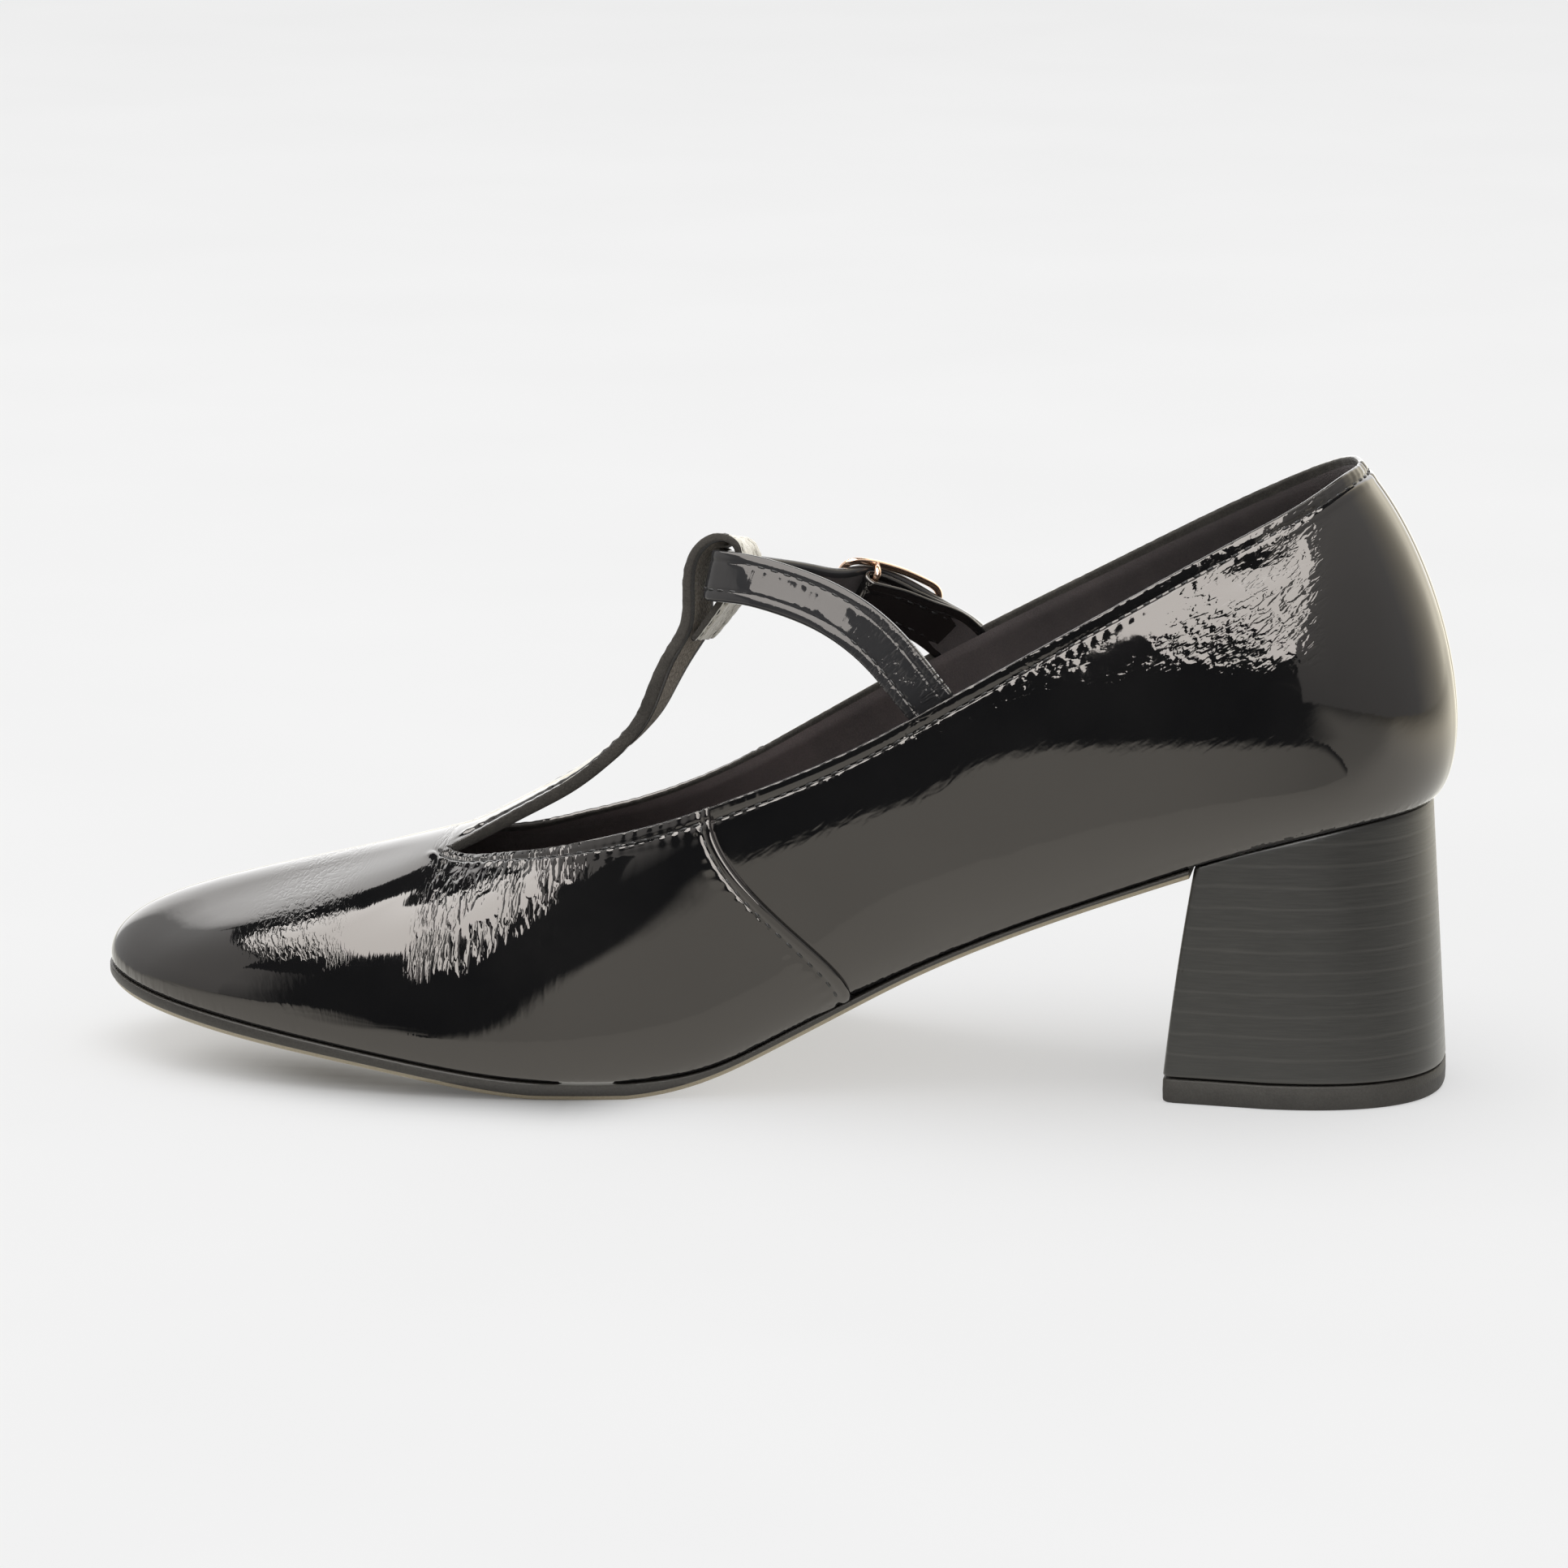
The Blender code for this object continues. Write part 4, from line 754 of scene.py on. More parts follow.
# ---------------------------------------------------------------- stitches and lining
def build_stitches(name, finish, rows, radius):
    """Thread stitches along lines of points on the leather, all in one mesh."""
    length = 1.8
    sink = 0.05
    mesh = Mesh()
    turns = (np.arange(6) + 0.5) * np.pi / 3
    body = np.linspace(-1, 1, 7)
    for points, normals in rows:
        reach = run_length(points)
        total = reach[-1]
        count = int(total // STITCH_PITCH)
        starts = (np.arange(count) + 0.5) * total / count
        at = starts[:, None] + body[None] * length / 2
        centre = np.stack([np.interp(at, reach, points[:, k]) for k in range(3)], -1)
        facing = unit(np.stack([np.interp(starts, reach, normals[:, k]) for k in range(3)], -1))[:, None]
        dip = 1 - np.abs(body)**3
        centre = centre + facing * (sink + (dip[None, :, None] - 1) * radius * 1.6)
        along = unit(centre[:, -1] - centre[:, 0])[:, None]
        side = np.cross(facing, along)
        girth = radius * np.sqrt(np.clip(1 - body**6, 0.05, 1))[None, :, None, None]
        ring = (side[:, :, None] * np.cos(turns)[None, None, :, None]
                + facing[:, :, None] * np.sin(turns)[None, None, :, None])
        for stitch in centre[:, :, None] + ring * girth:
            numbers = mesh.add(stitch)
            mesh.quads(numbers, closed=True)
            mesh.polygon(numbers[0])
            mesh.polygon(numbers[-1][::-1])
    mesh.build(name, finish)


def build_lining(finish, bar_finish, bar):
    """Inner face of the upper down to the insole, and the underside of the T-bar."""
    places = even(0, RING, 1.3)[:-1]
    fine = last_surface(places, np.linspace(1, 0.02, 60))
    normals = normals_of(np.concatenate([fine, fine[:, :1]], axis=1))[:, :-1]
    normals[:, 0] = normals[:, -1] = unit(normals[:, 1] + normals[:, -2])
    down = down_lengths(fine)
    depth = EDGE_THICK - 0.1 + (WALL + 0.22 - EDGE_THICK) * ramp(down, 0.0, TURN_IN + 0.4)
    points = fine - normals * depth[:, :, None]
    skin = np.stack([places[None] + 0 * down, down, 0 * down], -1)
    look = np.zeros(points.shape)
    # Painted light: the lining's colour is lightened towards the front, where more light falls on it
    look[..., 0] = 1 - ramp(points[..., 0], -40, 70)
    mesh = Mesh()
    mesh.quads(mesh.add(points[1:], skin[1:], look[1:]), closed=True)
    mesh.build("lining", finish)

    cut = np.abs(bar.share) < 0.72
    under = bar.inner - bar.normals * 0.12
    across = bar.share[None] * bar.half[:, None]
    skin = np.stack([across, bar.at[:, None] + 0 * across, 0 * across], -1)
    mesh = Mesh()
    mesh.quads(mesh.add(under[:, cut], skin[:, cut]))
    mesh.build("tbar_lining", bar_finish)


# ---------------------------------------------------------------- straps
BUCKLE_AT = run_length(STRAP_ROWS[:, :3])[BUCKLE_ROW]
HEM = 2.0                       # stitch rows from the strap's edges
HEM_TURN = 1.4                  # leather folded under the strap's edges
# The legs bend outwards and enter the side between its leathers: distance along, shift
LEG_PATH = ((0, 8, 12, 16, 18, 20, 22.5), (0, 0.15, 1.0, 2.7, 3.45, 3.95, 4.5))
# How far the strap's face is turned about its length, along it from its medial end
STRAP_TILT = (
    (0, 10, 20, 27, 30, 34, 42, 50, 54, 58, 62, 66, 80),
    (0, 0.1, 0.13, 0.1, 0, -0.06, -0.06, -0.06, 0.04, 0.12, 0.1, 0, 0),
)
HOLES = ((sum(PRONG_HOLE) / 2, 1.6), (5.5, 1.0), (11.0, 1.0), (16.5, 1.0))     # place, stretch along


def strap_frames(along):
    """Middle, direction, width and outward direction of the straps' line."""
    at = np.asarray(along, float) + BUCKLE_AT
    rows = along_rows(STRAP_ROWS, at)
    run = direction(STRAP_ROWS, at)
    width = square_to(np.column_stack([rows[:, 3], rows[:, 4], np.ones(len(rows))]), run)
    return rows[:, :3], run, width, np.cross(width, run)


def off_strap(along, out, side):
    middle, _, width, outward = strap_frames(along)
    return middle + outward * np.asarray(out)[:, None] + width * np.asarray(side)[:, None]


def band(name, finish, lining_finish, middles, normals, widths, half, thick, relief, skin_along, look):
    """Strap of leather with folded edges over a lining."""
    share = np.concatenate([np.linspace(-1, -0.4, 9), np.linspace(-0.3, 0.3, 5), np.linspace(0.4, 1, 9)])
    reach = 0.5
    side = share[None] * (half - reach)[:, None]
    face = middles[:, None] + widths[:, None] * side[:, :, None]
    lift = relief(side, half[:, None] - np.abs(side))
    outer = face + normals[:, None] * (thick / 2 + lift)[:, :, None]
    inner = face - normals[:, None] * thick / 2
    mesh = Mesh()
    skin = np.stack([skin_along[:, None] / 1.3 + 0 * side, side / 4, 0 * side], -1)
    look = np.broadcast_to(look[:, None], side.shape + (3,))
    numbers = mesh.add(outer, skin, look)
    mesh.quads(numbers)
    for column, way in ((0, -1), (-1, 1)):
        outward = widths * way
        rows = roll(outer[:, column], inner[:, column], outward, reach, ROLL_STEPS)
        turned = np.stack([inner[:, column] - outward * s for s in (0.4, HEM_TURN)])
        rolled = mesh.add(np.concatenate([rows, turned]), skin[:, column][None], look[:, column][None])
        strip = np.vstack([numbers[:, column][None], rolled])
        mesh.quads(strip if way > 0 else strip[:, ::-1])
    for row, way in ((0, -1), (-1, 1)):
        ahead = unit(middles[row] - middles[row - way])
        rolled = mesh.add(roll(outer[row], inner[row], ahead[None] + 0 * outer[row], 0.35, 4))
        strip = np.vstack([numbers[row][None], rolled])
        mesh.quads(strip if way < 0 else strip[:, ::-1])
    mesh.build(name + "_leather", finish, (name,))
    lining = Mesh()
    inset = np.linspace(-1, 1, 9)[None] * (half - HEM_TURN + 0.2)[:, None]
    under = middles[:, None] + widths[:, None] * inset[:, :, None] - normals[:, None] * (thick / 2 + 0.08)
    skin = np.stack([inset, skin_along[:, None] + 0 * inset, 0 * inset], -1)
    lining.quads(lining.add(under, skin))
    lining.build(name + "_lining", lining_finish)


def build_instep_strap(leather, lining):
    along = even(-BUCKLE_AT, STRAP_TAIL, 0.45)
    centre = np.zeros(len(along))
    middles = off_strap(along, weave(STRAP_WEAVE, along), centre)
    ahead = off_strap(along + SMALL, weave(STRAP_WEAVE, along + SMALL), centre)
    run = unit(ahead - middles)
    width = square_to(strap_frames(along)[2], run)
    tip = STRAP_WIDTH / 2
    past = np.clip((along - STRAP_TAIL + tip) / tip, 0, 1)
    half = tip * np.sqrt(1 - TAIL_ROUNDING * past**2)
    normals = np.cross(width, run)

    def relief(side, d):
        lift = 0.08 * bump(d, 1.2, 0.9) - 0.14 * bump(d, HEM, 0.4)
        lift += 0.04 * stitch_pull(along)[:, None] * ramp(d, 2.0, 2.6) * (1 - ramp(d, 2.6, 4.2))
        lift += 0.04 * wobble(along, 11, 5, 0.2, 1.1)[:, None] * ramp(d, 2.2, 3.4)
        lift += side * np.interp(along + BUCKLE_AT, *STRAP_TILT)[:, None]
        for place, stretch in HOLES:
            lift -= 1.3 * (np.hypot((along - place)[:, None] / stretch, side) < 0.85)
        return lift

    wrinkled = 1 - ramp(along + BUCKLE_AT, 14, 34)
    look = np.stack([wrinkled, 0 * along + 0.4, 0 * along], -1)
    band("instep_strap", leather, lining, middles, normals, width, half, STRAP_THICK, relief, along, look)
    keep = along < STRAP_TAIL - 5
    above = normals * (STRAP_THICK / 2 - 0.26)
    return [((middles + width * (side * (STRAP_WIDTH / 2 - HEM)) + above)[keep], normals[keep])
            for side in (-1, 1)]


def build_buckle_strap(leather, lining):
    leg = even(1.2, BUCKLE_STRAP_END, 0.5)[::-1]
    leg_out = weave(BUCKLE_LEG_WEAVE, leg)
    into_wall = np.interp(leg, *LEG_PATH)
    spread = 1 - 0.95 * ramp(leg, 9, 17)
    fold = np.radians(np.linspace(-90, 90, 17))
    radius = BUCKLE_LEG_WEAVE[0, 1]
    along = np.concatenate([leg, -radius * np.cos(fold), leg[::-1]])
    out = np.concatenate([into_wall - leg_out * spread, radius * np.sin(fold),
                          (into_wall + leg_out * spread)[::-1]])
    zero = np.zeros(len(along))
    middles = off_strap(along, out, zero)
    turn = unit(np.column_stack([-np.gradient(out), np.gradient(along)]))
    _, run, width, outward = strap_frames(along)
    normals = run * turn[:, :1] + outward * turn[:, 1:]
    half = zero + STRAP_WIDTH / 2 + 0.8 * ramp(along, 9, 18)

    def relief(side, d):
        return 0.1 * bump(d, 1.1, 0.9) - 0.2 * bump(d, HEM, 0.55)

    look = np.stack([zero, zero + 0.9, zero], -1)
    band("buckle_strap", leather, lining, middles, normals, width, half, BUCKLE_STRAP_THICK, relief,
         run_length(middles), look)
    rows = []
    for side in (-1, 1):
        above = normals * (BUCKLE_STRAP_THICK / 2 - 0.2)
        line = middles + width * (side * (STRAP_WIDTH / 2 - HEM)) + above
        for keep in (slice(0, len(leg) - 5), slice(len(line) - len(leg) + 5, len(line))):
            rows.append((line[keep], normals[keep]))
    return rows


# ---------------------------------------------------------------- buckle
FRAME_SQUEEZE = 0.93            # the frame's rails lean on the strap's edges
FRAME_PRESS = 0.8               # and its free end lies down on the strap
BAR_BEND = 0.8                  # radius of the bend where the bar meets a rail


def tube(mesh, path, across, through, size, squareness, sides, closed=False):
    """Wire of a rounded section along a line of points."""
    angles = (np.arange(sides) + 0.5) * 2 * np.pi / sides
    section = np.stack([np.cos(angles), np.sin(angles)], 1)
    section = np.sign(section) * np.abs(section)**squareness
    rings = (path[:, None] + across[:, None] * section[None, :, :1] * size[0] / 2
             + through[:, None] * section[None, :, 1:] * size[1] / 2)
    numbers = mesh.add(rings)
    if closed:
        numbers = np.vstack([numbers, numbers[:1]])
    mesh.quads(numbers, closed=True)
    if not closed:
        mesh.polygon(numbers[0])
        mesh.polygon(numbers[-1][::-1])


def build_buckle(finish):
    half = FRAME_ROWS * (1, 1, FRAME_SQUEEZE)
    half[:, 1] -= FRAME_PRESS * ramp(half[:, 0], 0, 9)
    loop = np.vstack([half, half[1:-1][::-1] * (1, 1, -1)])
    knots = run_length(np.vstack([loop, loop[:1]]))
    path = smooth_curve(knots[:-1], loop, np.linspace(0, knots[-1], 120, endpoint=False), knots[-1])
    points = off_strap(path[:, 0], path[:, 1], path[:, 2])
    run = unit(np.roll(points, -1, 0) - np.roll(points, 1, 0))
    through = square_to(strap_frames(path[:, 0])[3], run)
    mesh = Mesh()
    tube(mesh, points, np.cross(run, through), through, FRAME_WIRE, 0.6, 20, closed=True)

    _, rail_out, rail_half = FRAME_ROWS[BAR_RAIL_ROW]
    bend = np.array([0.0, 0.15, 0.3, 0.5, 0.7, 0.85, 1.0]) * np.pi / 2
    reach = rail_half * FRAME_SQUEEZE
    bar_side = np.concatenate([[reach], reach - BAR_BEND * (1 - np.cos(bend))])
    bar_out = np.concatenate([[rail_out], BAR_BEND * (1 - np.sin(bend))])
    bar_side = np.concatenate([bar_side, -bar_side[::-1]])
    bar_out = np.concatenate([bar_out, bar_out[::-1]])
    zero = np.zeros(len(bar_side))
    bar = off_strap(zero, bar_out, bar_side)
    run = unit(np.gradient(bar, axis=0))
    forward = strap_frames(zero)[1]
    tube(mesh, bar, forward, np.cross(run, forward), (2 * BAR_RADIUS, 2 * BAR_RADIUS), 1.0, 14)
    mesh.build("buckle_frame_metal", finish, ("buckle_frame",))

    radius = BAR_RADIUS + PRONG_CLEARANCE + PRONG_THICK / 2
    leave = np.radians(65)
    curl = np.linspace(leave - np.radians(265), leave, 40)
    straight = np.linspace(0.4, 7.2, 14)
    along = radius * np.cos(curl)
    out = radius * np.sin(curl)
    along = np.concatenate([along, along[-1] - np.sin(leave) * straight])
    out = np.concatenate([out, out[-1] + np.cos(leave) * straight])
    zero = np.zeros(len(along))
    points = off_strap(along, out, zero)
    run = unit(np.gradient(points, axis=0))
    width = square_to(strap_frames(zero)[2], run)
    mesh = Mesh()
    tube(mesh, points, width, np.cross(width, run), (PRONG_WIDTH, PRONG_THICK), 0.6, 16)
    mesh.build("buckle_prong_metal", finish, ("buckle_prong",))


# ---------------------------------------------------------------- sole, heel, insole
def close_ring(mesh, numbers):
    """Closes a ring with rungs from one side of the shoe to the other."""
    count = len(numbers)
    for i in range(count // 2):
        rung = [numbers[i], numbers[i + 1], numbers[count - 2 - i], numbers[count - 1 - i]]
        loop = list(dict.fromkeys(rung))
        if len(loop) > 2:
            mesh.polygon(loop)


def build_rings(name, finish, replaces, sharp, rings, skin=None, look=None):
    """Body through closed rings that lie over each other."""
    mesh = Mesh()
    numbers = mesh.add(np.stack(rings), skin, look)
    mesh.quads(numbers, closed=True)
    close_ring(mesh, numbers[0])
    close_ring(mesh, numbers[-1])
    mesh.build(name, finish, (replaces,), sharp)


def build_outsole(finish):
    start = place_of_foot_x(SOLE_END, HEEL_SIDE_RIBS[0] + 1)
    end = place_of_foot_x(SOLE_END, HEEL_SIDE_RIBS[1] - 1)
    places = even(start, end, 1.2)
    # Face that a ring belongs to, rise over it, how far it stands out, and if it is tread
    layers = (
        ("top", 0.0, -2.5, 0), ("top", 0.0, -0.6, 0), ("top", -0.02, 0.1, 0), ("top", -0.12, 0.32, 0),
        ("top", -0.32, SOLE_LIP, 0), ("tread", SOLE_TREAD + 0.35, SOLE_LIP, 0),
        ("tread", SOLE_TREAD + 0.12, 0.4, 0), ("tread", SOLE_TREAD + 0.02, 0.2, 0),
        ("tread", SOLE_TREAD - 0.02, 0.15, 1), ("tread", SOLE_TREAD - 0.2, 0.05, 1),
        ("tread", 0.3, -0.1, 1), ("tread", 0.08, -0.35, 1), ("tread", 0.0, -0.8, 1), ("tread", 0.0, -3.0, 1),
    )
    rings = []
    looks = []
    for face, rise, lip, is_tread in layers:
        ring = foot_ring(places, lip)
        top = feather_z(ring[:, 0]) - GAP
        ring[:, 2] = (top if face == "top" else tread_z(ring[:, 0])) + rise
        rings.append(ring)
        looks.append(np.tile([is_tread, 0, 0], (len(ring), 1)))
    skin = np.stack([np.stack([places, r[:, 2], 0 * places], -1) for r in rings])
    build_rings("outsole_rubber", finish, "outsole", 50, rings, skin, np.stack(looks))


def rounded_ends(outline):
    """The outline with its two breast corners rounded off."""
    way = np.sign(outline[-1, 1] - outline[0, 1])
    turn = np.linspace(0, np.pi / 2, 5)
    curve = HEEL_CORNER * np.stack([1 - np.cos(turn), (1 - np.sin(turn)) * way], 1)
    return np.vstack([outline[0] + curve, outline[1:-1], outline[-1] + curve[::-1] * (1, -1)])


def heel_floor_outline(inset=0.0):
    straight = np.linspace(0, 1, 12, endpoint=False)
    side_x = HEEL_FRONT_FLOOR + (HEEL_MIDDLE_X - HEEL_FRONT_FLOOR) * straight
    side_y = HEEL_HALF_FRONT + (HEEL_HALF_MIDDLE - HEEL_HALF_FRONT) * straight
    turn = np.linspace(0, np.pi / 2, 41)
    power = 2 / HEEL_BACK_POWER
    x = np.concatenate([side_x, HEEL_MIDDLE_X + (HEEL_BACK_FLOOR - HEEL_MIDDLE_X) * np.sin(turn)**power])
    y = np.concatenate([side_y, HEEL_HALF_MIDDLE * np.clip(np.cos(turn), 0, None)**power])
    middle = (HEEL_BACK_FLOOR + HEEL_FRONT_FLOOR) / 2
    x = middle + (x - middle) * (1 - inset / ((HEEL_BACK_FLOOR - HEEL_FRONT_FLOOR) / 2))
    y = y * (1 - inset / HEEL_HALF_MIDDLE)
    medial = np.column_stack([x, HEEL_CENTRE_Y - y])
    lateral = np.column_stack([x, HEEL_CENTRE_Y + y])[:-1][::-1]
    return rounded_ends(np.vstack([medial, lateral]))


def heel_seat_outline():
    medial_side, lateral_side = HEEL_SIDE_RIBS
    medial_front = place_of_foot_x(HEEL_FRONT_TOP, medial_side + 1)
    lateral_front = place_of_foot_x(HEEL_FRONT_TOP, lateral_side - 1)
    places = np.concatenate([
        np.linspace(medial_front, KNOTS[medial_side], 12, endpoint=False),
        np.linspace(KNOTS[medial_side], 0, 41),
        np.linspace(RING, KNOTS[lateral_side], 41)[1:],
        np.linspace(KNOTS[lateral_side], lateral_front, 13)[1:],
    ])
    return rounded_ends(foot_ring(places, -HEEL_SEAT_INSET)[:, :2])


def build_heel(finish):
    seat = heel_seat_outline()
    floor = heel_floor_outline()
    seat_z = feather_z(seat[:, 0]) - GAP
    floor_z = TOP_PIECE_THICK + GAP
    edge = (2.0, 0.35, 0.1)             # insets of the rings at both ends
    levels = np.concatenate([[0.0, 0.0, 0.004, 0.01], np.linspace(0.03, 0.97, 40), [0.99, 0.996, 1.0, 1.0]])
    insets = np.concatenate([edge, np.zeros(len(levels) - 2 * len(edge)), edge[::-1]])
    centre = np.array([(HEEL_FRONT_TOP + HEEL_BACK_FLOOR) / 2, HEEL_CENTRE_Y])
    around = run_length(floor)
    rings = []
    skins = []
    for t, inset in zip(levels, insets):
        ring = floor + (seat - floor) * t
        hollow = HEEL_WAIST * 4 * t * (1 - t)
        ring[:, 1] = HEEL_CENTRE_Y + (ring[:, 1] - HEEL_CENTRE_Y) * (1 - hollow / HEEL_HALF_MIDDLE)
        ring[:, 0] = ring[:, 0] - hollow * (ring[:, 0] < HEEL_FRONT_TOP)
        ring = centre + (ring - centre) * (1 - inset / HEEL_HALF_MIDDLE)
        z = floor_z + (seat_z - floor_z) * t
        rings.append(np.column_stack([ring, z]))
        skins.append(np.column_stack([around, z, 0 * z]))
    build_rings("heel_cover", finish, "heel_block", 60, rings, np.stack(skins))


def build_top_piece(finish):
    profile = ((3.0, 0.0), (0.9, 0.0), (0.4, 0.08), (0.12, 0.3), (0.0, 0.6), (-0.05, 2.2),
               (0.0, 4.1), (0.1, 4.4), (0.4, 4.5), (3.0, 4.5))          # inset, height
    rings = []
    for inset, height in profile:
        outline = heel_floor_outline(inset)
        rings.append(np.column_stack([outline, np.full(len(outline), height)]))
    build_rings("heel_top_lift", finish, "heel_top_piece", 60, rings)


def build_insole(finish):
    places = even(0, RING, 1.5)[:-1]
    profile = ((0, 0.0), (0, 1.7), (0.15, 2.1), (0.5, 2.35), (1.2, INSOLE_THICK), (4, INSOLE_THICK))
    rings = []
    for inset, rise in profile:
        ring = foot_ring(places, -(WALL + INSOLE_PLAY + inset))
        ring[:, 2] = feather_z(ring[:, 0]) + rise
        rings.append(np.roll(ring, -1, axis=0))
    build_rings("sock", finish, "insole", 60, rings)


# ---------------------------------------------------------------- materials
class Finish:
    """A procedural material with short calls for its nodes."""

    def __init__(self, name, colour, **values):
        self.material = bpy.data.materials.new(name)
        self.material.use_nodes = True
        self.tree = self.material.node_tree
        self.shader = self.tree.nodes["Principled BSDF"]
        self.shader.inputs["Base Color"].default_value = (*colour, 1)
        for label, value in values.items():
            self.shader.inputs[label.replace("_", " ")].default_value = value

    def node(self, kind, links=(), settings=(), **values):
        """Adds a node; an underscore in the name of a value stands for a space."""
        made = self.tree.nodes.new(kind)
        for label, value in dict(settings).items():
            setattr(made, label, value)
        for label, value in values.items():
            made.inputs[label.replace("_", " ")].default_value = value
        for key, socket in dict(links).items():
            self.tree.links.new(socket, made.inputs[key])
        return made

    def feed(self, label, socket):
        self.tree.links.new(socket, self.shader.inputs[label])

    def math(self, operation, a, b=None):
        made = self.node("ShaderNodeMath", settings={"operation": operation})
        for i, value in enumerate((a, b)):
            if isinstance(value, (int, float)):
                made.inputs[i].default_value = value
            elif value is not None:
                self.tree.links.new(value, made.inputs[i])
        return made.outputs[0]

    def plus(self, a, b):
        return self.math("ADD", a, b)

    def times(self, a, b):
        return self.math("MULTIPLY", a, b)

    def attribute(self, name):
        return self.node("ShaderNodeAttribute", settings={"attribute_name": name}).outputs["Vector"]

    def split(self, vector):
        return self.node("ShaderNodeSeparateXYZ", {"Vector": vector}).outputs

    def object_mm(self):
        return self.scaled(self.node("ShaderNodeTexCoord").outputs["Object"], (1000, 1000, 1000))

    def scaled(self, vector, scale):
        return self.node("ShaderNodeMapping", {"Vector": vector}, Scale=scale).outputs[0]

    def noise(self, vector, scale, detail=2.0, rough=0.5, distortion=0.0):
        return self.node("ShaderNodeTexNoise", {"Vector": vector}, Scale=scale, Detail=detail,
                         Roughness=rough, Distortion=distortion).outputs["Fac"]

    def cells(self, vector, wander):
        """Distance to the nearest border between wandering cells."""
        shift = self.node("ShaderNodeTexNoise", {"Vector": vector}, Scale=1.3, Detail=2.0)
        stray = self.node("ShaderNodeVectorMath", {0: shift.outputs["Color"]}, {"operation": "SUBTRACT"})
        stray.inputs[1].default_value = (0.5, 0.5, 0.5)
        stray = self.node("ShaderNodeVectorMath", {0: stray.outputs[0]}, {"operation": "SCALE"},
                          Scale=wander * 2)
        moved = self.node("ShaderNodeVectorMath", {0: vector, 1: stray.outputs[0]}, {"operation": "ADD"})
        return self.node("ShaderNodeTexVoronoi", {"Vector": moved.outputs[0]},
                         {"feature": "DISTANCE_TO_EDGE"}, Scale=1.0).outputs["Distance"]

    def span(self, value, low, high, start=0.0, end=1.0):
        return self.node("ShaderNodeMapRange", {"Value": value}, From_Min=low, From_Max=high,
                         To_Min=start, To_Max=end).outputs[0]

    def colours(self, value, stops):
        made = self.node("ShaderNodeValToRGB", {"Fac": value})
        elements = made.color_ramp.elements
        while len(elements) < len(stops):
            elements.new(0.5)
        for element, (place, colour) in zip(elements, stops):
            element.position = place
            element.color = (*colour, 1)
        self.feed("Base Color", made.outputs[0])

    def relief(self, height_mm):
        self.feed("Normal", self.node("ShaderNodeBump", {"Height": height_mm}, Distance=MM,
                                      Strength=1.0).outputs[0])


def patent(name="patent_leather_look", low=0.0087, high=0.0124, gloss=0.82):
    """Black patent leather: a sharp warm gloss, crinkled by its lasting."""
    made = Finish(name, (low, low, low), Roughness=0.05, Specular_IOR_Level=gloss,
                  Specular_Tint=(1.0, 0.93, 0.87, 1))
    skin = made.attribute("skin")
    look = made.split(made.attribute("look"))
    place = made.object_mm()
    swell = made.times(made.noise(place, 0.11, 1.0), 0.08)
    pebble = made.times(made.noise(place, 0.95, 1.5), 0.02)
    ripple = made.times(made.noise(skin, 1.0, 1.0, 0.45, 0.35), 0.1)
    fine = made.times(made.plus(pebble, ripple), look[1])
    valley = made.times(made.cells(skin, 0.55), 6.0)
    valley = made.math("EXPONENT", made.times(made.times(valley, valley), -1.0))
    broken = made.span(made.noise(made.scaled(skin, (0.35, 1.1, 1.1)), 1.0, 1.0), 0.33, 0.5)
    wrinkle = made.times(made.times(valley, broken), made.times(look[0], -0.13))
    pucker = made.times(made.noise(made.scaled(place, (1.0, 1.0, 0.35)), 0.8, 1.0),
                        made.times(look[2], 0.16))
    made.relief(made.plus(made.plus(swell, fine), made.plus(wrinkle, pucker)))
    made.colours(made.noise(place, 0.05, 3.0),
                 ((0.35, (low, low, low * 1.06)), (0.7, (high, high * 0.98, high))))
    made.feed("Roughness", made.span(made.noise(place, 0.4, 3.0), 0.3, 0.7, 0.045, 0.065))
    return made.material


def raw_edge():
    """Matte dark brown back and cut edges of the leather."""
    made = Finish("raw_leather_edge", (0.05, 0.043, 0.036), Roughness=0.8, Specular_IOR_Level=0.25,
                  Sheen_Weight=0.2, Sheen_Roughness=0.4)
    place = made.object_mm()
    fibre = made.noise(place, 3.0, 4.0, 0.7)
    patch = made.noise(place, 0.25, 2.0)
    made.colours(made.plus(made.times(fibre, 0.6), made.times(patch, 0.4)),
                 ((0.36, (0.03, 0.026, 0.021)), (0.66, (0.075, 0.066, 0.055))))
    made.relief(made.times(fibre, 0.12))
    return made.material


def returned_backing_with_painted_highlights():
    """Finely crinkled skin of the T-bar's end where it is turned back over the strap: a pale beige of its
    own, with painted highlights along the crinkles.
    """
    made = Finish("returned_backing_with_painted_highlights", (0.45, 0.42, 0.34), Roughness=0.4)
    lines = made.noise(made.scaled(made.object_mm(), (1.2, 2.4, 0.5)), 1.0, 3.0, 0.6, 0.4)
    # Painted highlights: the colour runs up to near white along the crinkle lines
    made.colours(lines, ((0.34, (0.42, 0.38, 0.3)), (0.54, (0.95, 0.91, 0.8))))
    made.relief(made.times(lines, 0.16))
    made.feed("Roughness", made.span(lines, 0.3, 0.7, 0.3, 0.5))
    return made.material


def thread():
    made = Finish("black_thread", (0.01, 0.01, 0.01), Roughness=0.5, Specular_IOR_Level=0.5)
    twist = made.noise(made.object_mm(), 3.0, 2.0)
    made.colours(twist, ((0.3, (0.006, 0.006, 0.006)), (0.75, (0.03, 0.028, 0.027))))
    made.relief(made.times(twist, 0.08))
    return made.material


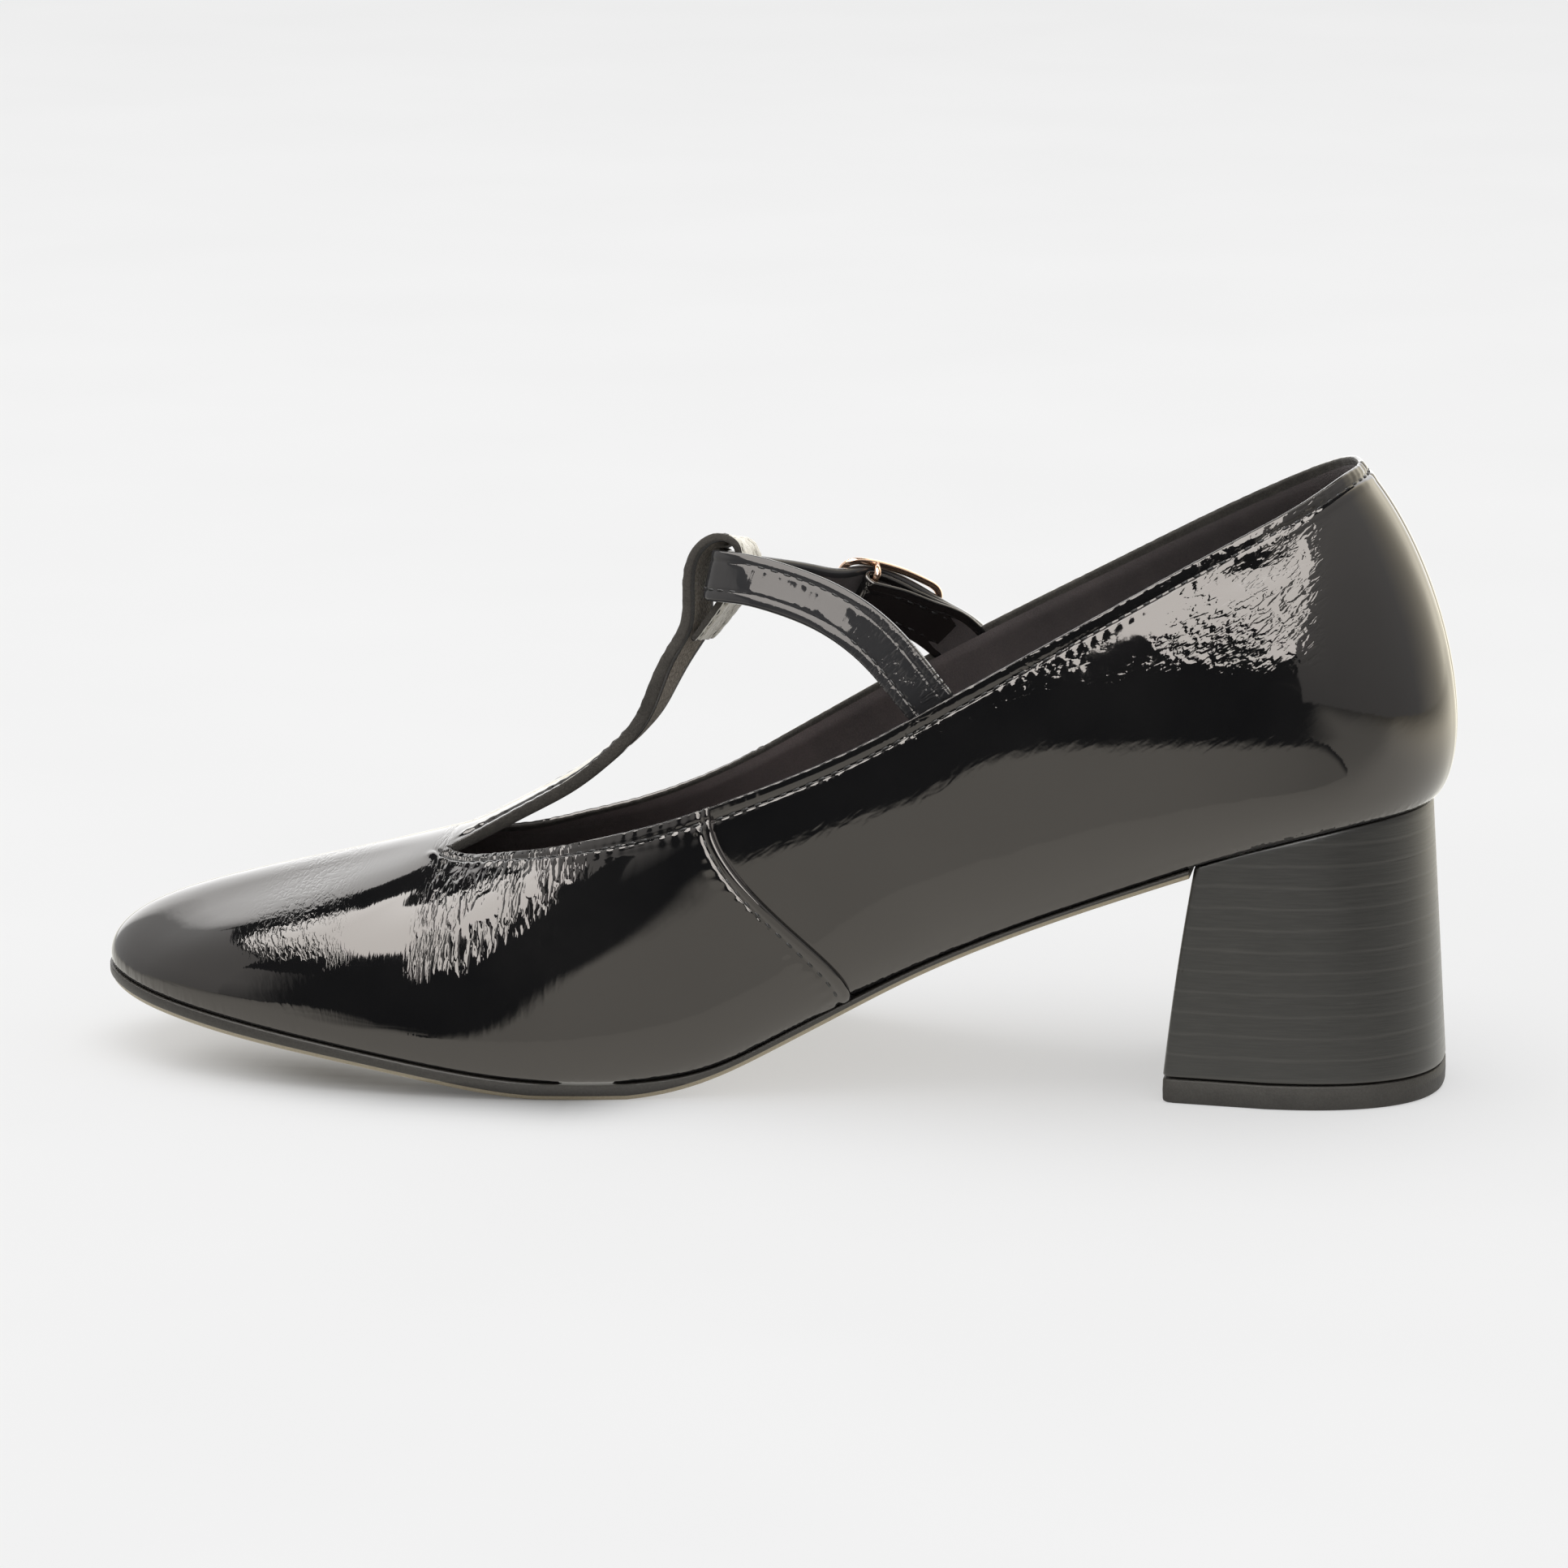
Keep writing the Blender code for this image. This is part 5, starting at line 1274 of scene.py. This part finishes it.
def lining_cloth(name="lining_cloth"):
    """Dark reddish brown lining, with painted light: a little lighter towards the front, where more light
    falls.
    """
    dark = (0.03, 0.02, 0.019)
    pale = (0.055, 0.039, 0.037)
    made = Finish(name, dark, Roughness=0.85, Sheen_Weight=0.25, Sheen_Roughness=0.4)
    place = made.object_mm()
    fibre = made.noise(made.scaled(place, (3, 3, 3)), 1.0, 4.0, 0.7)
    patch = made.noise(place, 0.12, 3.0)
    # painted light: the look attribute's first value lightens the lining towards the front
    front = made.split(made.attribute("look"))[0]
    tone = made.plus(made.times(fibre, 0.5), made.times(patch, 0.5))
    made.colours(made.plus(tone, made.times(front, 0.5)),
                 ((0.35, dark), (0.68, pale), (1.0, [c * 1.7 for c in pale])))
    made.relief(made.times(fibre, 0.12))
    return made.material


def plain_textile():
    """Beige-brown woven backing of the T-bar."""
    made = Finish("textile_backing", (0.2, 0.17, 0.13), Roughness=0.9)
    skin = made.attribute("skin")
    cell = made.split(skin)
    warp = made.math("SINE", made.times(cell[0], 9.0))
    weft = made.math("SINE", made.times(cell[1], 9.0))
    cloth = made.times(warp, weft)
    made.colours(made.plus(made.times(cloth, 0.2), made.noise(skin, 1.5, 3.0)),
                 ((0.3, (0.12, 0.1, 0.075)), (0.7, (0.42, 0.36, 0.28))))
    made.relief(made.times(cloth, 0.06))
    return made.material


def stacked():
    """Stacked heel cover: faint lighter lines between the lifts and a fine grain."""
    lift_thick = 3.9
    made = Finish("stacked_heel_look", (0.03, 0.028, 0.024), Roughness=0.36, Specular_IOR_Level=0.5)
    skin = made.attribute("skin")
    waver = made.times(made.noise(made.scaled(skin, (0.05, 0.3, 1)), 1.0, 2.0), 1.2)
    level = made.plus(made.split(skin)[1], waver)
    cell = made.math("FRACT", made.math("DIVIDE", level, lift_thick))
    off_line = made.times(made.math("ABSOLUTE", made.math("SUBTRACT", cell, 0.5)), 9.0)
    line = made.math("SUBTRACT", 1.0, made.math("MINIMUM", off_line, 1.0))
    grain = made.noise(made.scaled(skin, (0.12, 2.2, 1)), 1.0, 4.0, 0.65)
    made.colours(made.plus(made.times(line, 0.3), made.times(grain, 0.5)),
                 ((0.2, (0.014, 0.013, 0.011)), (0.75, (0.041, 0.038, 0.033))))
    made.relief(made.plus(made.times(grain, 0.03), made.times(line, -0.02)))
    made.feed("Roughness", made.span(grain, 0.2, 0.8, 0.3, 0.42))
    return made.material


def top_rubber():
    """Dark gritty rubber of the top piece."""
    made = Finish("top_piece_look", (0.024, 0.021, 0.017), Roughness=0.6, Specular_IOR_Level=0.4)
    place = made.object_mm()
    grit = made.noise(place, 2.5, 4.0, 0.6)
    made.colours(made.plus(made.times(grit, 0.6), made.times(made.noise(place, 0.2), 0.4)),
                 ((0.35, (0.024, 0.021, 0.017)), (0.65, (0.04, 0.036, 0.03))))
    made.relief(made.times(grit, 0.05))
    return made.material


def sole_rubber():
    """Dark sole unit with its tan tread; look marks the tread."""
    made = Finish("sole_unit_look", (0.03, 0.027, 0.022), Roughness=0.45, Specular_IOR_Level=0.4)
    grit = made.noise(made.object_mm(), 2.5, 4.0, 0.6)
    tread = made.split(made.attribute("look"))[0]
    made.colours(made.plus(made.times(grit, 0.4), made.times(tread, 0.6)),
                 ((0.14, (0.026, 0.023, 0.019)), (0.3, (0.042, 0.037, 0.031)),
                  (0.7, (0.27, 0.225, 0.15)), (0.9, (0.36, 0.31, 0.22))))
    made.relief(made.times(grit, 0.05))
    return made.material


def gold():
    made = Finish("rose_gold_metal", (0.8, 0.56, 0.42), Roughness=0.2, Metallic=1.0)
    place = made.object_mm()
    brushed = made.noise(made.scaled(place, (2, 2, 9)), 1.0, 3.0)
    made.feed("Roughness", made.span(brushed, 0.3, 0.7, 0.12, 0.26))
    made.colours(made.noise(place, 0.6, 3.0), ((0.3, (0.72, 0.49, 0.36)), (0.7, (0.86, 0.62, 0.47))))
    made.relief(made.times(made.noise(place, 1.2, 2.0), 0.01))
    return made.material


# ---------------------------------------------------------------- the shoe
def build_shoe():
    leather = patent()
    lining = lining_cloth()
    yarn = thread()
    edged = (leather, raw_edge())
    rows, bar = build_vamp((*edged, returned_backing_with_painted_highlights()))
    rows += build_quarters(edged)
    build_lining(lining, plain_textile(), bar)
    build_stitches("upper_stitches", yarn, rows, 0.24)
    # Painted reflection: this greyer, less glossy copy of the patent has a lighter base colour, partly the
    # strap's own duller leather and partly standing in for the grey light it mirrors
    strap_leather_painted_reflection = patent("strap_leather_look", 0.034, 0.05, 0.4)
    strap_rows = build_instep_strap(strap_leather_painted_reflection, lining)
    strap_rows += build_buckle_strap(leather, lining)
    build_stitches("strap_stitches", yarn, strap_rows, 0.2)
    build_buckle(gold())
    build_outsole(sole_rubber())
    build_heel(stacked())
    build_top_piece(top_rubber())
    build_insole(lining_cloth("sock_cloth"))


# ---------------------------------------------------------------- studio
WHITE = (1.0, 1.0, 1.0)
FLOOR_TINT = (1.0, 0.99, 0.93)
BACK_TINT = (1.0, 0.94, 0.78)
FLOOR_REACH = 6000
WORLD = 0.66
OVERHEAD_WATTS = 26.0
SOFTBOX = 7.0                   # brightness of the softbox in reflections
SOFTBOX_AT = (-22, 56, 1000, -13)       # azimuth, elevation, distance and spin
SOFTBOX_OUTLINE = (
    (950, -620), (600, -600), (330, -430), (110, -350), (-10, -230), (-200, -120), (-670, 30),
    (-1050, 330), (-1250, 700), (-780, 590), (-950, 900), (-400, 1000), (570, 460), (610, 210),
    (900, -80), (1640, -250), (1350, -480),
)
# In front of the shoe the floor fades to black in reflections: x, start of the fade, its width
FLOOR_FADE = np.array([
    (-3000, -500, 300), (-300, -300, 250), (-130, -130, 80), (-104, -76, 36), (-66, -76, 36),
    (-45, -82, 40), (140, -82, 40), (181, -125, 90), (240, -150, 90), (3000, -150, 90),
])
# Low board beside the shoe, seen in reflections alone: x and height of its soft upper edge
BOARD_Y = -80
BOARD_EDGE = np.array([
    (-104, -6), (-75, -4), (-66, 2), (-58, 6), (-52, 12), (-47, 20), (-43, 29), (-39, 36), (-35, 39.5),
    (-32, 41), (-27, 43), (-23, 42), (-17, 39.5), (-9, 40), (2, 43), (12, 46), (27, 47), (38, 59),
    (52, 56), (73, 50), (100, 46), (130, 43), (142, 38), (160, 24), (178, 4),
])
# The floor glows less along this line under the toe: a painted shadow, deep under the toe
TOE_SHADOW = np.array([(-100, -20), (-60, -34), (-34, -37)], float)
TOE_SHADOW_HALF = 13.0
# Glowing walls: name, foot, direction, height, stops across (place, strength, tint), share
# of the strength at the foot of the stops, and height above which it is full
WALLS = (
    ("right_wall", (600, 250, 0), (100, 2500, 0), 1600,
     ((-1250, 0.72, WHITE), (-150, 0.75, WHITE), (150, 1.3, BACK_TINT), (500, 2.3, BACK_TINT),
      (1250, 2.6, BACK_TINT)), (0.55, 0.6, 0.9, 1.0, 1.0), 600),
    ("left_wall", (-900, 0, 0), (0, 1, 0), 1020,
     ((-650, 0.72, WHITE), (0, 0.78, WHITE), (650, 0.85, WHITE), (800, 0.85, WHITE)), 0.85, 350),
    ("front_left_wall", (-900, -650, 0), (255, -333, 0), 700,
     ((0, 0.72, WHITE), (150, 0.6, WHITE), (420, 0.0, WHITE)), 0.55, 350),
    ("back_light", (0, 1300, 0), (1, 0, 0), 1500,
     ((-1700, 0.85, WHITE), (-1240, 0.85, WHITE), (-1120, 1.7, WHITE), (-960, 2.2, WHITE),
      (1700, 2.3, WHITE)), 1.0, 350),
)


def placed(name, corners, faces, light, finish):
    """A sheet of the studio with its own light at each corner, left out of the kept model."""
    mesh = bpy.data.meshes.new(name)
    mesh.from_pydata((np.asarray(corners, float) * MM).tolist(), [], faces)
    write_values(mesh, "light", np.broadcast_to(light, (len(corners), 3)))
    mesh.materials.append(finish)
    piece = bpy.data.objects.new(name, mesh)
    bpy.context.collection.objects.link(piece)
    return piece


def studio_light():
    """Glow whose colour and strength come from the mesh."""
    made = bpy.data.materials.new("studio_light")
    made.use_nodes = True
    tree = made.node_tree
    tree.nodes.remove(tree.nodes["Principled BSDF"])
    light = tree.nodes.new("ShaderNodeEmission")
    reading = tree.nodes.new("ShaderNodeAttribute")
    reading.attribute_name = "light"
    tree.links.new(reading.outputs["Vector"], light.inputs["Color"])
    tree.links.new(light.outputs[0], tree.nodes["Material Output"].inputs["Surface"])
    return made


def lit(name, corners, faces, light):
    """Glowing sheet that is seen in reflections alone."""
    finish = bpy.data.materials.get("studio_light") or studio_light()
    piece = placed(name, corners, faces, light, finish)
    for sight in ("camera", "diffuse", "shadow", "transmission", "volume_scatter"):
        setattr(piece, "visible_" + sight, False)


def numbered_faces(shape):
    return grid_quads(np.arange(shape[0] * shape[1]).reshape(shape)).tolist()


def line_distance(places, line):
    """Distance from each place of a plane grid to a line of points."""
    near = np.full(places.shape[:-1], 1e9)
    for a, b in zip(line[:-1], line[1:]):
        run = b - a
        away = places - a
        t = np.clip(away @ run / (run @ run), 0, 1)
        near = np.minimum(near, np.linalg.norm(away - t[..., None] * run, axis=-1))
    return near


def view_axes(azimuth, elevation):
    """Direction away from the shoe, and level and upward across it; azimuth 0 is its medial side."""
    turn = np.radians(azimuth)
    rise = np.radians(elevation)
    away = np.array([np.sin(turn) * np.cos(rise), -np.cos(turn) * np.cos(rise), np.sin(rise)])
    level = unit(np.cross(-away, UP))
    return away, level, np.cross(level, -away)


def wall(name, foot, across, height, stops, lows, rise):
    foot = np.array(foot, float)
    across = unit(np.array(across, float))
    corners = []
    light = []
    for (u, strength, colour), low in zip(stops, np.broadcast_to(lows, len(stops))):
        for z, share in ((0, low), (rise, 1.0), (height, 1.0)):
            corners.append(foot + across * u + UP * z)
            light.append(np.array(colour) * strength * share)
    lit(name, corners, numbered_faces((len(stops), 3)), light)


def softbox():
    azimuth, elevation, distance, spin = SOFTBOX_AT
    away, level, upward = view_axes(azimuth, elevation)
    tilt = np.radians(spin)
    across = level * np.cos(tilt) + upward * np.sin(tilt)
    upward = np.cross(across, -away)
    corners = [away * distance + across * u + upward * v for u, v in SOFTBOX_OUTLINE]
    lit("softbox", corners, [range(len(corners))], SOFTBOX)


def build_floor():
    steps = np.concatenate([[-FLOOR_REACH], even(-160, 160, 4), [FLOOR_REACH]])
    x, y = np.meshgrid(steps, steps, indexing="ij")
    near = line_distance(np.stack([x, y], -1), TOE_SHADOW)
    # Painted shadow: the floor's glow is cut down along the line under the toe
    glow = 1 - 0.85 * np.exp(-(near / TOE_SHADOW_HALF)**2) * ramp(x, -122, -74)
    paper = Finish("pale_floor", (0.4, 0.4, 0.4), Roughness=0.9, Specular_IOR_Level=0.0,
                   Emission_Color=(1, 1, 1, 1), Emission_Strength=0.49)
    paper.colours(paper.noise(paper.object_mm(), 0.01, 2.0),
                  ((0.3, (0.385, 0.385, 0.385)), (0.7, (0.4, 0.4, 0.4))))
    paper.feed("Emission Color", paper.attribute("light"))
    corners = np.stack([x, y, 0 * x], -1).reshape(-1, 3)
    placed("floor", corners, numbered_faces(x.shape), glow.reshape(-1, 1), paper.material)


def build_floor_mirror():
    """The floor as it shows in reflections: bright and warm, fading to black in front."""
    steps = np.concatenate([[-FLOOR_REACH, -2000, -1200], np.arange(-900, 901, 30),
                            [1200, 2000, FLOOR_REACH]])
    deep = np.sort(np.concatenate([steps, np.arange(-205, 0, 10)]))
    x, y = np.meshgrid(steps, deep, indexing="ij")
    start = np.interp(x, FLOOR_FADE[:, 0], FLOOR_FADE[:, 1])
    width = np.interp(x, FLOOR_FADE[:, 0], FLOOR_FADE[:, 2])
    shown = np.maximum(1 - ramp(-y, -start, width - start), ramp(x - (110 - 0.62 * y), -65, 70))
    shown = shown * (1 - 0.3 * ramp(x, 60, 190) * ramp(-y, 40, 100)) * (1 - 0.35 * ramp(-x, 150, 400))
    shown = shown * (1 - 0.75 * ramp(x, 300, 600) * (1 - ramp(y, 100, 800)))
    back = ramp(x + y, 200, 600)[..., None]
    near = ramp(y, -160, 20)[..., None]
    light = np.array(FLOOR_TINT) * (1.05 + 0.25 * near) * (1 - back) + np.array(BACK_TINT) * 2.1 * back
    corners = np.stack([x, y, 3 + 0 * x], -1).reshape(-1, 3)
    lit("floor_mirror", corners, numbered_faces(x.shape), (light * shown[..., None]).reshape(-1, 3))


def build_board():
    """Bright low sheet in front of the shoe, ending in a soft line that its side mirrors."""
    x, z = np.meshgrid(np.arange(-104, 181, 2.5), np.arange(3, 72, 2.0), indexing="ij")
    near = line_distance(np.stack([x, z], -1), BOARD_EDGE)
    above = near * np.sign(z - np.interp(x, BOARD_EDGE[:, 0], BOARD_EDGE[:, 1]))
    edge = 1 - ramp(above, -2, 4)
    light = np.array(FLOOR_TINT) * (1.02 * edge * (1 - 0.3 * ramp(x, 60, 150)))[..., None]
    corners = np.stack([x, BOARD_Y + 0 * x, z], -1).reshape(-1, 3)
    faces = [f for f in numbered_faces(x.shape) if (edge.ravel()[f] > 0).any()]
    lit("board", corners, faces, light.reshape(-1, 3))


def build_studio():
    build_floor()
    world = bpy.data.worlds.new("studio")
    world.use_nodes = True
    world.node_tree.nodes["Background"].inputs["Color"].default_value = (1, 1, 1, 1)
    world.node_tree.nodes["Background"].inputs["Strength"].default_value = WORLD
    world.cycles_visibility.glossy = False
    bpy.context.scene.world = world

    overhead = bpy.data.lights.new("overhead", "AREA")
    overhead.shape = "SQUARE"
    overhead.size = 2.4
    overhead.energy = OVERHEAD_WATTS
    lamp = bpy.data.objects.new("overhead", overhead)
    lamp.location = (-0.3, 0.2, 2.2)
    lamp.visible_glossy = False
    bpy.context.collection.objects.link(lamp)

    build_floor_mirror()
    build_board()
    softbox()
    for each in WALLS:
        wall(*each)


CAMERA_AZIMUTH = 9.0
CAMERA_ELEVATION = 13.0
CAMERA_DISTANCE = 1300.0
CAMERA_AIM = (0.074, 49.44)     # right and up of the origin in the picture
VIEW_WIDTH = 286.0104           # seen across the picture at the shoe
SENSOR = 36.0


def build_camera():
    back, right, up = view_axes(CAMERA_AZIMUTH, CAMERA_ELEVATION)
    aim = right * CAMERA_AIM[0] + up * CAMERA_AIM[1] + ORIGIN_SHIFT
    data = bpy.data.cameras.new("camera")
    data.sensor_width = SENSOR
    data.lens = SENSOR * CAMERA_DISTANCE / VIEW_WIDTH
    data.clip_start = 0.05
    data.clip_end = 50.0
    camera = bpy.data.objects.new("camera", data)
    bpy.context.collection.objects.link(camera)
    axes = Matrix([[*right], [*up], [*back]]).transposed()
    camera.matrix_world = Matrix.Translation(tuple((aim + back * CAMERA_DISTANCE) * MM)) @ axes.to_4x4()
    bpy.context.scene.camera = camera


build_shoe()
build_studio()
build_camera()
bpy.context.scene.view_settings.view_transform = "Standard"
